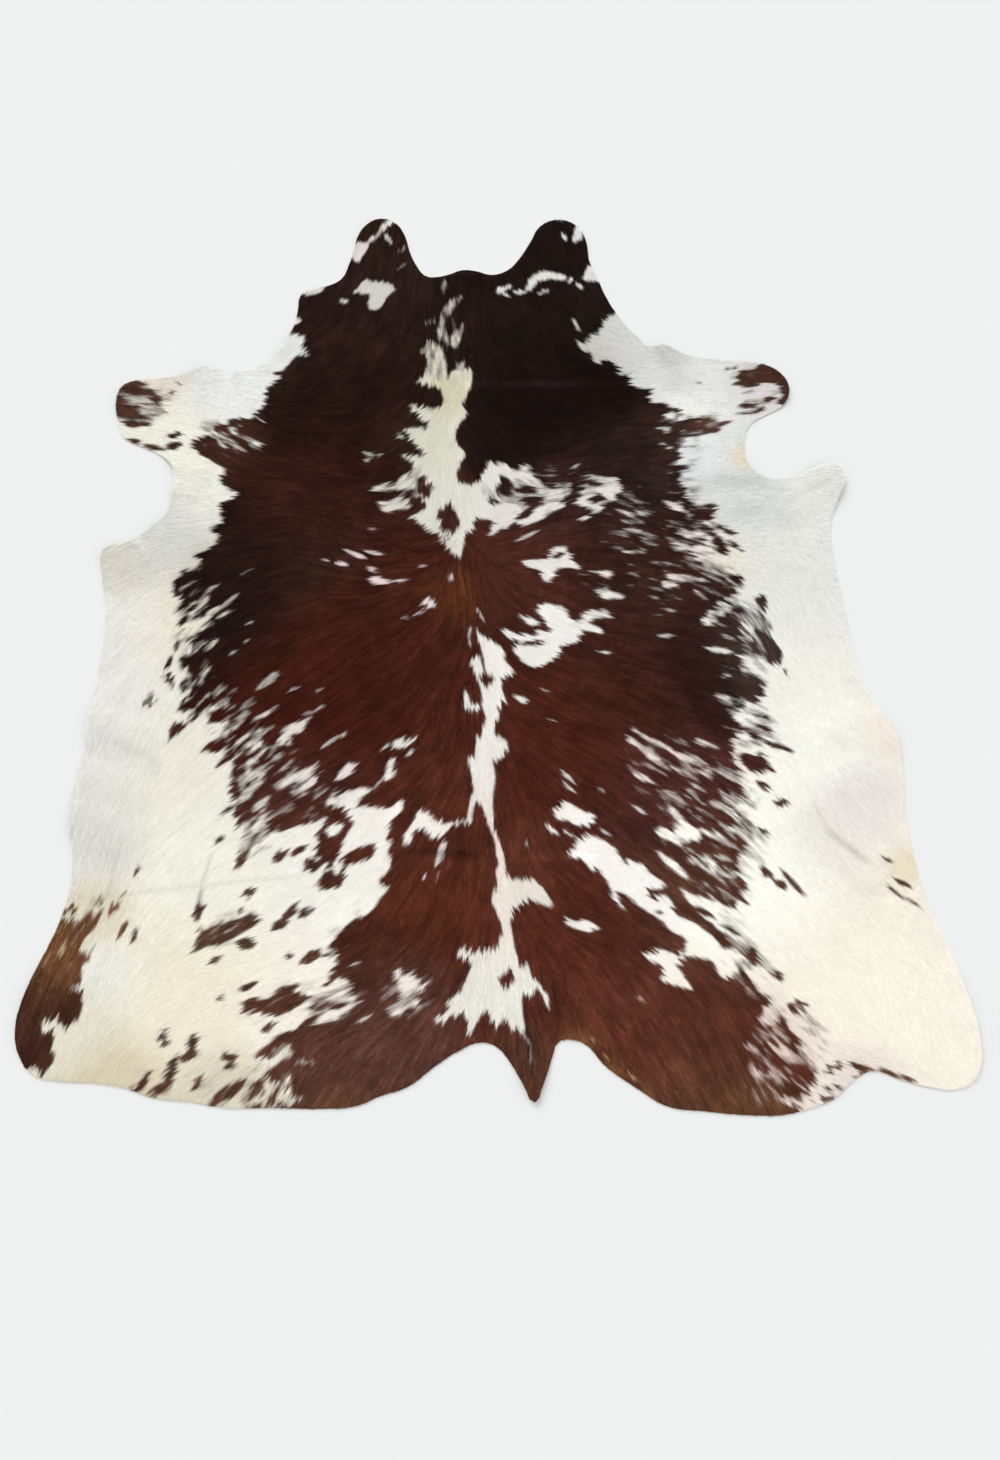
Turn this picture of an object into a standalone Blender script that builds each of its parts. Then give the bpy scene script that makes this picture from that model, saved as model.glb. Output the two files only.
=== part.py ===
"""A cowhide rug: one whole hair-on hide, spread out flat with its hair side up.

The hide lies on the plane z = 0 with its head end toward +Y and its tail end toward -Y. The origin is
the middle of the hide's box, on the floor. It is one piece of leather: a sheet cut to the hide's own
outline, flat where it touches the floor, and lifted a little where a corner curls or a leg puckers.
"""

import math
from typing import NamedTuple

import bmesh
import bpy
from mathutils import Vector
from mathutils.geometry import delaunay_2d_cdt

CM = 0.01

# Driving sizes, metres.
HIDE_WIDTH = 1.990  # across the hind legs
HIDE_LENGTH = 2.2704  # from the right buttock to the tip of the head's left lobe
THICKNESS = 0.003  # tanned skin with its short coat pressed down

# How the sheet is divided.
EDGE_STEP = 0.015  # between points along the cut edge
FOLD_STEP = 0.024  # between points where the sheet is lifted; it is twice this where the sheet is flat
EDGE_CLEAR = 0.55  # share of FOLD_STEP kept free between an inner point and the cut edge
CURVE_STEPS = 12  # divisions of the smooth curve between two stations

COLLECTION = "cowhide_rug"
NODE = "hide"
COAT_COLOUR = (0.072, 0.026, 0.015, 1.0)  # chestnut brown, the hide's darker half
COAT_ROUGHNESS = 0.62


class Station(NamedTuple):
    """A place on the cut edge, in centimetres rightward and toward the head."""

    x: float
    y: float


class Fold(NamedTuple):
    """A soft ridge along a line, or a lifted corner where the line is a point, in centimetres."""

    place: str
    x_from: float
    y_from: float
    x_to: float
    y_to: float
    half_width: float
    height: float


# The box round the stations below, in their own centimetres.
LEFT, RIGHT = 0.6, 199.6
BOTTOM, TOP = 0.66, 227.7

# The cut edge, anticlockwise from the notch between the two lobes of the head. Columns: x, y.
EDGE = {
    "head, left lobe": (
        (97.0, 208.7), (94.6, 209.2), (92.3, 212.7), (90.8, 217.0), (89.6, 222.6), (87.4, 226.4),
        (83.5, 227.7), (79.6, 225.7), (77.4, 222.4), (76.4, 218.6), (74.7, 213.8), (72.9, 210.0),
    ),
    "neck, left edge": (
        (69.3, 208.0), (64.2, 207.1), (62.1, 205.3), (61.4, 201.0), (60.3, 195.8), (58.1, 191.3),
        (54.9, 187.3), (51.0, 184.8),
    ),
    "left front leg": (
        (46.0, 184.0), (41.6, 184.5), (37.5, 185.5), (33.0, 183.9), (27.0, 183.2), (20.6, 182.7),
        (17.4, 180.9), (16.1, 176.4), (16.5, 172.2), (18.0, 167.0), (22.2, 164.3), (27.5, 161.1),
        (30.6, 157.1), (30.3, 151.0), (29.1, 145.6), (25.4, 141.7), (20.7, 138.5),
    ),
    "left flank": (
        (16.0, 137.5), (14.1, 135.7), (14.2, 130.5), (15.3, 120.5), (14.7, 110.0), (12.8, 96.5),
        (11.9, 87.5), (10.3, 81.5), (9.4, 72.5), (10.3, 65.5), (10.2, 56.5),
    ),
    "left hind leg": (
        (8.3, 49.5), (4.5, 41.0), (1.6, 33.5), (0.6, 28.0), (1.6, 22.9), (4.2, 19.1), (9.5, 17.5),
        (17.5, 16.5), (23.5, 15.1), (29.0, 12.9),
    ),
    "left buttock": (
        (36.5, 11.6), (43.4, 10.0), (54.0, 9.2), (64.5, 8.3), (70.5, 8.4), (75.5, 10.0), (81.0, 11.3),
        (87.0, 15.0), (92.3, 17.8),
    ),
    "tail": (
        (96.8, 19.0), (99.9, 17.8), (102.8, 13.9), (105.0, 9.6), (106.7, 6.6), (108.5, 9.4),
        (111.1, 15.1), (112.4, 17.8),
    ),
    "right buttock": (
        (115.0, 18.3), (118.4, 16.9), (121.5, 12.9), (128.0, 7.7), (133.5, 4.0), (141.0, 2.5),
        (150.0, 1.1), (157.0, 0.7), (163.5, 1.7),
    ),
    "right hind leg": (
        (168.0, 3.0), (172.0, 6.0), (176.5, 7.8), (181.5, 5.9), (187.5, 3.9), (193.5, 3.1),
        (197.5, 5.0), (199.5, 12.5), (198.5, 22.5), (196.5, 32.0), (193.9, 41.5),
    ),
    "right flank": (
        (193.0, 51.5), (192.9, 60.5), (194.3, 71.5), (193.6, 79.7), (190.6, 85.9), (188.5, 93.5),
        (187.6, 108.0), (187.1, 121.5), (188.0, 132.0), (190.5, 137.9), (192.8, 143.3),
    ),
    "right front leg": (
        (191.7, 146.4), (188.0, 147.0), (182.8, 145.4), (177.5, 144.4), (172.7, 145.4), (170.0, 149.2),
        (170.2, 154.7), (172.3, 159.8), (177.5, 162.6), (181.5, 164.8), (183.2, 168.9), (181.9, 173.0),
        (177.9, 176.1), (171.9, 177.8), (164.5, 179.3), (158.1, 180.6), (153.1, 183.7),
    ),
    "neck, right edge": (
        (150.0, 183.5), (147.6, 186.6), (143.5, 192.7), (140.4, 199.8), (138.6, 206.6), (137.2, 211.0),
    ),
    "head, right lobe": (
        (137.2, 215.0), (135.8, 220.3), (132.9, 223.2), (129.2, 224.1), (125.5, 222.8), (122.5, 218.0),
        (119.0, 212.7), (115.8, 209.5), (111.5, 208.4), (107.8, 209.8), (104.0, 210.4), (100.7, 209.3),
    ),
}

# Where the sheet leaves the floor. Columns: place, line from x, y to x, y, half width, height.
FOLDS = (
    Fold("curled tip of the right flank", 192.0, 147.0, 190.5, 143.5, 11.0, 1.5),
    Fold("ridge behind that tip", 189.0, 141.5, 178.0, 136.5, 6.5, 0.9),
    Fold("pucker of the right front leg", 171.0, 147.0, 156.0, 146.5, 6.5, 1.0),
    Fold("second pucker, below it", 176.0, 139.5, 160.0, 137.5, 6.0, 0.7),
    Fold("lifted top of the right front leg", 153.5, 186.0, 156.5, 176.0, 7.5, 1.1),
    Fold("curled edge of the right front leg", 185.0, 168.0, 176.0, 179.5, 7.5, 0.9),
    Fold("lifted top of the left front leg", 37.0, 188.0, 35.5, 178.0, 7.5, 1.0),
    Fold("curled end of the left front leg", 14.0, 178.0, 16.0, 182.5, 8.5, 0.9),
    Fold("pucker of the left front leg, upper", 30.0, 158.0, 38.0, 155.5, 4.5, 0.8),
    Fold("pucker of the left front leg, lower", 29.5, 151.0, 37.0, 149.0, 4.5, 0.6),
    Fold("soft wave under the left front leg", 27.0, 141.0, 41.0, 145.0, 6.0, 0.8),
    Fold("curled tip of the left flank", 12.5, 138.5, 17.0, 137.0, 8.5, 1.0),
    Fold("wave in the left flank, upper", 11.0, 93.5, 24.0, 88.5, 7.0, 0.9),
    Fold("wave in the left flank, lower", 8.5, 71.0, 20.0, 66.5, 7.0, 0.8),
    Fold("curled edge of the left hind leg", -1.0, 27.0, 3.0, 37.0, 8.0, 0.8),
    Fold("pucker of the right hind leg", 172.5, 61.0, 183.0, 48.0, 6.0, 0.8),
    Fold("lifted end of the right hind leg", 203.0, 8.0, 200.5, 22.0, 9.0, 0.8),
    Fold("wave in the right flank", 196.5, 78.0, 182.0, 80.0, 7.0, 0.9),
    Fold("stiff root of the tail", 107.0, 5.5, 106.5, 24.0, 5.0, 1.0),
    Fold("curled left lobe of the head", 82.0, 230.5, 79.0, 226.0, 8.5, 0.7),
    Fold("curled right lobe of the head", 132.0, 226.5, 136.5, 222.0, 8.5, 0.8),
    Fold("lifted left edge of the neck", 57.5, 190.5, 62.5, 192.5, 6.5, 0.8),
)


def clear_scene():
    """Takes every object out of the scene, so that only the rug is left in it."""
    for obj in list(bpy.data.objects):
        bpy.data.objects.remove(obj, do_unlink=True)


def to_hide(x, y):
    """A place in the stations' centimetres, in metres from the hide's origin."""
    across, along = (x - LEFT) / (RIGHT - LEFT), (y - BOTTOM) / (TOP - BOTTOM)
    return Vector(((across - 0.5) * HIDE_WIDTH, (along - 0.5) * HIDE_LENGTH))


def outline_curve():
    """The cut edge as a closed smooth curve through its stations."""
    stations = [Station(*place) for stretch in EDGE.values() for place in stretch]
    data = bpy.data.curves.new("cut_edge", "CURVE")
    data.dimensions = "2D"
    data.resolution_u = CURVE_STEPS
    spline = data.splines.new("BEZIER")
    spline.bezier_points.add(len(stations) - 1)
    for point, station in zip(spline.bezier_points, stations):
        point.co = to_hide(station.x, station.y).to_3d()
        point.handle_left_type = point.handle_right_type = "AUTO"
    spline.use_cyclic_u = True
    data.fill_mode = "NONE"
    guide = bpy.data.objects.new("cut_edge", data)
    guide.hide_render = True
    guide.display_type = "WIRE"
    return guide


def curve_points(guide):
    """The points of a curve object in their order along it."""
    bpy.context.view_layer.update()
    mesh = bpy.data.meshes.new_from_object(guide.evaluated_get(bpy.context.evaluated_depsgraph_get()))
    points = [vertex.co.to_2d() for vertex in mesh.vertices]
    bpy.data.meshes.remove(mesh)
    return points


def evenly_spaced(points, step):
    """Points a step apart, or a little less, along the closed line through the given ones."""
    ends = points[1:] + points[:1]
    lengths = [(b - a).length for a, b in zip(points, ends)]
    count = math.ceil(sum(lengths) / step)
    spacing = sum(lengths) / count
    spaced, run, i = [], 0.0, 0
    for k in range(count):
        while run + lengths[i] < k * spacing:
            run += lengths[i]
            i += 1
        spaced.append(points[i].lerp(ends[i], (k * spacing - run) / lengths[i]))
    return spaced


def distance_to_line(point, start, end):
    """The distance from a point to the line from start to end."""
    along = end - start
    share = max(0.0, min(1.0, (point - start).dot(along) / max(along.length_squared, 1e-12)))
    return (point - start - along * share).length


def distance_to_edge(point, edge):
    """The distance from a point to the closed line through the edge's points."""
    return min(distance_to_line(point, a, b) for a, b in zip(edge, edge[1:] + edge[:1]))


def lift(point, folds=FOLDS, spread=1.0):
    """How far the folds raise the sheet at a point: each rises smoothly from nothing at its half width."""
    raised = 0.0
    for fold in folds:
        start, end = to_hide(fold.x_from, fold.y_from), to_hide(fold.x_to, fold.y_to)
        share = distance_to_line(point, start, end) / (fold.half_width * CM * spread)
        if share < 1.0:
            raised = max(raised, fold.height * CM * (1.0 - share * share) ** 2)
    return raised


def inside(point, edge):
    """Whether a point lies inside the closed line through the edge's points."""
    crossings = 0
    for a, b in zip(edge, edge[1:] + edge[:1]):
        if (a.y > point.y) != (b.y > point.y):
            crossings += point.x < a.x + (b.x - a.x) * (point.y - a.y) / (b.y - a.y)
    return crossings % 2 == 1


def inner_points(edge):
    """Points in staggered rows inside the edge, close together at the folds and sparse on the flat."""
    row_step = FOLD_STEP * math.sqrt(3) / 2
    rows = math.ceil(HIDE_LENGTH / 2 / row_step)
    columns = math.ceil(HIDE_WIDTH / 2 / FOLD_STEP)
    points = []
    for j in range(-rows, rows + 1):
        for i in range(-columns, columns + 1):
            point = Vector(((i + (j % 2) / 2) * FOLD_STEP, j * row_step))
            sparse = j % 2 == 0 and (i + j // 2) % 2 == 0
            if not sparse and lift(point, spread=1.25) == 0.0:
                continue
            if inside(point, edge) and distance_to_edge(point, edge) > EDGE_CLEAR * FOLD_STEP:
                points.append(point)
    return points


def coat_material():
    """Short smooth hair: brown, half matt."""
    material = bpy.data.materials.new("cowhide_hair")
    material.use_nodes = True
    shader = material.node_tree.nodes["Principled BSDF"]
    shader.inputs["Base Color"].default_value = COAT_COLOUR
    shader.inputs["Roughness"].default_value = COAT_ROUGHNESS
    shader.inputs["Metallic"].default_value = 0.0
    material.diffuse_color = COAT_COLOUR
    return material


def build_hide(collection):
    """The sheet: triangles between the edge's points and the inner ones, lifted, then given its thickness."""
    guide = outline_curve()
    collection.objects.link(guide)
    edge = evenly_spaced(curve_points(guide), EDGE_STEP)
    bpy.data.objects.remove(guide, do_unlink=True)

    ring = [(k, (k + 1) % len(edge)) for k in range(len(edge))]
    inside_only = 1
    points, _, faces, *_ = delaunay_2d_cdt(edge + inner_points(edge), ring, [], inside_only, 1e-6)

    mesh = bpy.data.meshes.new(NODE)
    sheet = bmesh.new()
    corners = [sheet.verts.new((point.x, point.y, lift(point))) for point in points]
    for face in faces:
        sheet.faces.new([corners[k] for k in face])
    bmesh.ops.recalc_face_normals(sheet, faces=sheet.faces)
    if sum(face.normal.z * face.calc_area() for face in sheet.faces) < 0:
        bmesh.ops.reverse_faces(sheet, faces=sheet.faces)
    sheet.to_mesh(mesh)
    sheet.free()

    mesh.materials.append(coat_material())
    hide = bpy.data.objects.new(NODE, mesh)
    collection.objects.link(hide)
    thickness = hide.modifiers.new("skin_and_coat", "SOLIDIFY")
    thickness.thickness = THICKNESS
    thickness.offset = 1.0  # upward, so that the flesh side keeps its place on the floor
    return hide


def main():
    """Builds the rug in a collection of its own."""
    clear_scene()
    collection = bpy.data.collections.new(COLLECTION)
    bpy.context.scene.collection.children.link(collection)
    build_hide(collection)


main()
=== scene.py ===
"""The looks of a cowhide rug: one whole hair-on hide laid out flat, with its leather, coat and marks.

Every place in the tables below is in the hide's own centimetres: x to the right and y toward the head,
as a tape laid on the rug would read. MIDDLE is the row's origin in them.
"""

import logging
import math
from dataclasses import dataclass, field
from enum import Enum
from functools import partial
from typing import NamedTuple

import bmesh
import bpy
import numpy as np
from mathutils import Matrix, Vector
from mathutils.bvhtree import BVHTree
from mathutils.geometry import delaunay_2d_cdt


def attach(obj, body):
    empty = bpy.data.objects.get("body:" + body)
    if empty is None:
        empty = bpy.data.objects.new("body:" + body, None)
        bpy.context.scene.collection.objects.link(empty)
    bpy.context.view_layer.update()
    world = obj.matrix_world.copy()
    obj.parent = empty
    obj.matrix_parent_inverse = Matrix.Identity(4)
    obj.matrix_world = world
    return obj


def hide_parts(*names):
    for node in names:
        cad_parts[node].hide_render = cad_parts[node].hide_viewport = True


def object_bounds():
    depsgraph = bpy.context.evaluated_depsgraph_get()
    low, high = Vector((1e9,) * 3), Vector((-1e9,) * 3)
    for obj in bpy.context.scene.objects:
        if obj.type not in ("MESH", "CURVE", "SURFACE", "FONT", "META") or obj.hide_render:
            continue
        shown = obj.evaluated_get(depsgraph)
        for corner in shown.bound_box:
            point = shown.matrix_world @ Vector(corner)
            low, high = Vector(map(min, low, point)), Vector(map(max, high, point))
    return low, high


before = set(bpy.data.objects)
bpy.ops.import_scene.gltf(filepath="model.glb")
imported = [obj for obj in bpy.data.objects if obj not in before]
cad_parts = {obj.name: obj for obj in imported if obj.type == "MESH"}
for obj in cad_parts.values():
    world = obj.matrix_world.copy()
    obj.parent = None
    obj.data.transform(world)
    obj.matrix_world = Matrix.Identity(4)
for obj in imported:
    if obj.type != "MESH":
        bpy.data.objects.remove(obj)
CAD_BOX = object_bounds()

log = logging.getLogger("cowhide_rug")

CM = 0.01
MM = 0.001
MIDDLE = np.array((100.1, 114.18))
SEED = 7
# Attributes that the meshes carry, and the map that their looks are baked on.
COAT = "coat"  # the hair's colour
ALONG = "along"  # 0 at a lock's root and 1 at its tip
TURN = "turn"  # of a lock about x, y and z
KEPT = "kept"  # the share of its length that a lock keeps
BAKE_MAP = "OFBake"
Points = tuple[tuple[float, float], ...]


class Hair(Enum):
    """The two kinds of hair that the coat is made of, by their share of brown."""

    WHITE = 0.0
    BROWN = 1.0

    def brown(self, share: float) -> float:
        """Returns the brown share of a mark that has this share of its own kind of hair."""
        return abs(self.value + share - 1)


class Patch(NamedTuple):
    """A mark with an edge of its own, and the share of its hair that is of its kind."""

    name: str
    edge: Points
    share: float = 1.0


class Streak(NamedTuple):
    """A narrow mark, tapered at both ends, and the share of its hair that is of its kind."""

    x_from: float
    y_from: float
    x_to: float
    y_to: float
    width: float
    share: float = 0.85


class Roan(NamedTuple):
    """A zone where brown and white hair mix in streaks."""

    name: str
    x: float
    y: float
    half_long: float
    half_wide: float
    turn: float
    brown_share: float
    strength: float


class Tint(NamedTuple):
    """The colour that one kind of hair has round a place."""

    place: str
    x: float
    y: float
    reach: float
    colour: str


class Lie(NamedTuple):
    """The way the hair lies at a place, in degrees anticlockwise from x."""

    x: float
    y: float
    angle: float


class PaintedShade(NamedTuple):
    """A line along which the coat is darker, below one, or lighter: mostly shade painted into a fold or
    crease, and a few lighter lines of hair.
    """

    x_from: float
    y_from: float
    x_to: float
    y_to: float
    half_width: float
    light: float


class Crease(NamedTuple):
    """A soft trough, below zero, or ridge along a line in the leather, its height in millimetres."""

    x_from: float
    y_from: float
    x_to: float
    y_to: float
    half_width: float
    height: float


class Variety(NamedTuple):
    """How far one kind of hair's shade varies, as shares: in blotches, streaks, clouds and lock by lock."""

    mottle: float
    streak: float
    cloud: float
    lock: float


# The brown saddle runs from the head to the hem. Where it reaches the cut edge, its line runs outside it.
SADDLE: Points = (
    (56, 232), (56, 203), (60, 199.3), (61.8, 199), (62.5, 197.5), (61.6, 196.8), (59, 196), (58, 194),
    (61.3, 193.5), (61.7, 192), (62.8, 193), (63.8, 192.2), (63.5, 191), (62.3, 190), (63.3, 188),
    (63.8, 186.3), (62.5, 187), (61, 187.2), (59, 184.8), (57, 183), (55.2, 183.3), (56.5, 180.8),
    (55, 179.7), (53.5, 178.7), (53, 177), (52.3, 172.7), (50, 170.3), (49, 169.7), (47, 170.3),
    (45, 169.5), (41, 168.3), (39.5, 166), (36, 165.5), (35, 163.5), (37, 160.8), (40, 158.5), (43, 156.5),
    (44, 155.7), (41.8, 154.5), (42.5, 152.5), (45, 150.5), (46, 149), (44.5, 147.5), (42.5, 147.3),
    (41.8, 146), (42.3, 144.5), (41.8, 143.3), (43, 142), (39, 140), (42, 138.8), (40.5, 136.3),
    (38, 134.5), (35.5, 133.8), (38.3, 132.3), (36.5, 130), (33, 130.3), (32.8, 128.5), (31.5, 127.8),
    (31, 124.3), (32.5, 123.5), (33.5, 120), (32.7, 118), (33, 115.5), (34.5, 116.7), (36.5, 117.8),
    (40, 118), (39.8, 115.8), (38.3, 114.5), (35.3, 113.3), (35, 111.7), (36, 109.3), (33, 108), (33, 106),
    (36, 103.8), (33.6, 102.8), (33.6, 100.5), (36.5, 98.7), (33.3, 97.5), (32.8, 95.5), (34.5, 95.2),
    (38.3, 97), (41, 95.6), (42, 95), (39.8, 92.4), (42, 91.8), (46.5, 92), (44.3, 90), (44.5, 87.8),
    (42.5, 88), (39, 85.2), (42, 85.3), (46.5, 88), (50, 90.8), (51.8, 89), (52.3, 86), (51.5, 83),
    (53.5, 80.5), (52.8, 78), (54, 76.8), (52.5, 75.5), (52.3, 73), (53.5, 71.5), (52, 70), (54, 65.5),
    (56.3, 66.2), (60.5, 67.3), (65.5, 68.2), (65, 66.5), (63.5, 65), (64.3, 63.3), (63, 61.8),
    (64.5, 58.5), (67, 57), (73, 56), (79.6, 56), (76.7, 54.5), (77.1, 52.8), (78.6, 51.6), (76.9, 49.9),
    (75.5, 47.8), (72.1, 46.2), (70, 45.1), (68, 43.5), (66.3, 41.4), (66.3, 39.9), (67.3, 38.8),
    (66.9, 36.4), (64.6, 33.5), (65.7, 32.6), (67.5, 34.1), (68.5, 34.2), (70.5, 32.4), (70.6, 30.8),
    (72.5, 27.8), (68.4, 27), (66.9, 25.8), (64.6, 24.9), (59, 24.3), (55.9, 23.3), (53.4, 22.2),
    (49.8, 19.3), (55, 18), (52.5, 17), (51.3, 15.1), (49.6, 13.9), (47.8, 12), (47, 4), (95, 2), (150, -3),
    (160, -2), (160.5, 3), (163, 5), (164.5, 6.5), (165.3, 9), (163.5, 10.3), (161.5, 11.5), (162.5, 15.3),
    (160, 17.5), (161.5, 18.2), (160, 19.8), (155, 18), (154.3, 19.5), (157, 22.8), (158.4, 23.9),
    (155.5, 24.8), (153.8, 26.2), (154, 27.5), (152.7, 29.5), (155, 30.5), (156, 33), (153, 37.5),
    (154, 43.5), (156, 48), (154, 50.5), (156.5, 57), (153.5, 60), (155.5, 62), (157.5, 66.5), (158, 70),
    (157, 76), (156.8, 79), (158.5, 81), (159.8, 82), (157.8, 85.3), (159.5, 86.5), (162.5, 88),
    (165.3, 89.8), (166, 90.5), (165.5, 92), (166.7, 93), (164.5, 95.3), (162, 96), (161, 97.5),
    (161.8, 100), (161.5, 102.5), (163.5, 107.5), (164, 112), (161, 111), (158, 109.5), (156.3, 108),
    (155, 107.5), (154.2, 108.5), (155.5, 111.5), (157, 111.5), (160.5, 113.5), (163.3, 115.5), (162, 117),
    (160.3, 119), (157, 121.7), (155.3, 123.5), (153.8, 125.5), (154.5, 127), (158.5, 130.5), (160, 131),
    (159, 134.3), (160.5, 135.8), (161, 137), (159.5, 138.3), (157, 138.5), (154.5, 140), (154, 142.5),
    (152.5, 145), (153, 147.5), (156, 148.5), (153, 149), (154, 151), (153.5, 153), (155.5, 156.7),
    (159.5, 157.8), (163.5, 157.8), (165.5, 159.7), (168.2, 160.7), (165, 161.3), (162.5, 161.8),
    (164, 162.5), (160.5, 162), (158.5, 162.6), (155.5, 162), (155, 165.7), (153, 165.8), (152, 167),
    (149, 167.8), (148, 169), (149, 171.3), (145, 172.3), (144, 173.5), (144, 177), (142.5, 175.7),
    (141, 176.3), (142, 178), (140, 180), (138.5, 181), (136.5, 179.7), (135.3, 181), (134.5, 184),
    (132.9, 183.7), (131.7, 185.5), (132, 187), (134, 185.3), (135, 188), (138.3, 189), (138.5, 190.7),
    (139, 192.3), (142.1, 194.7), (145, 197), (144, 232),
)

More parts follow.
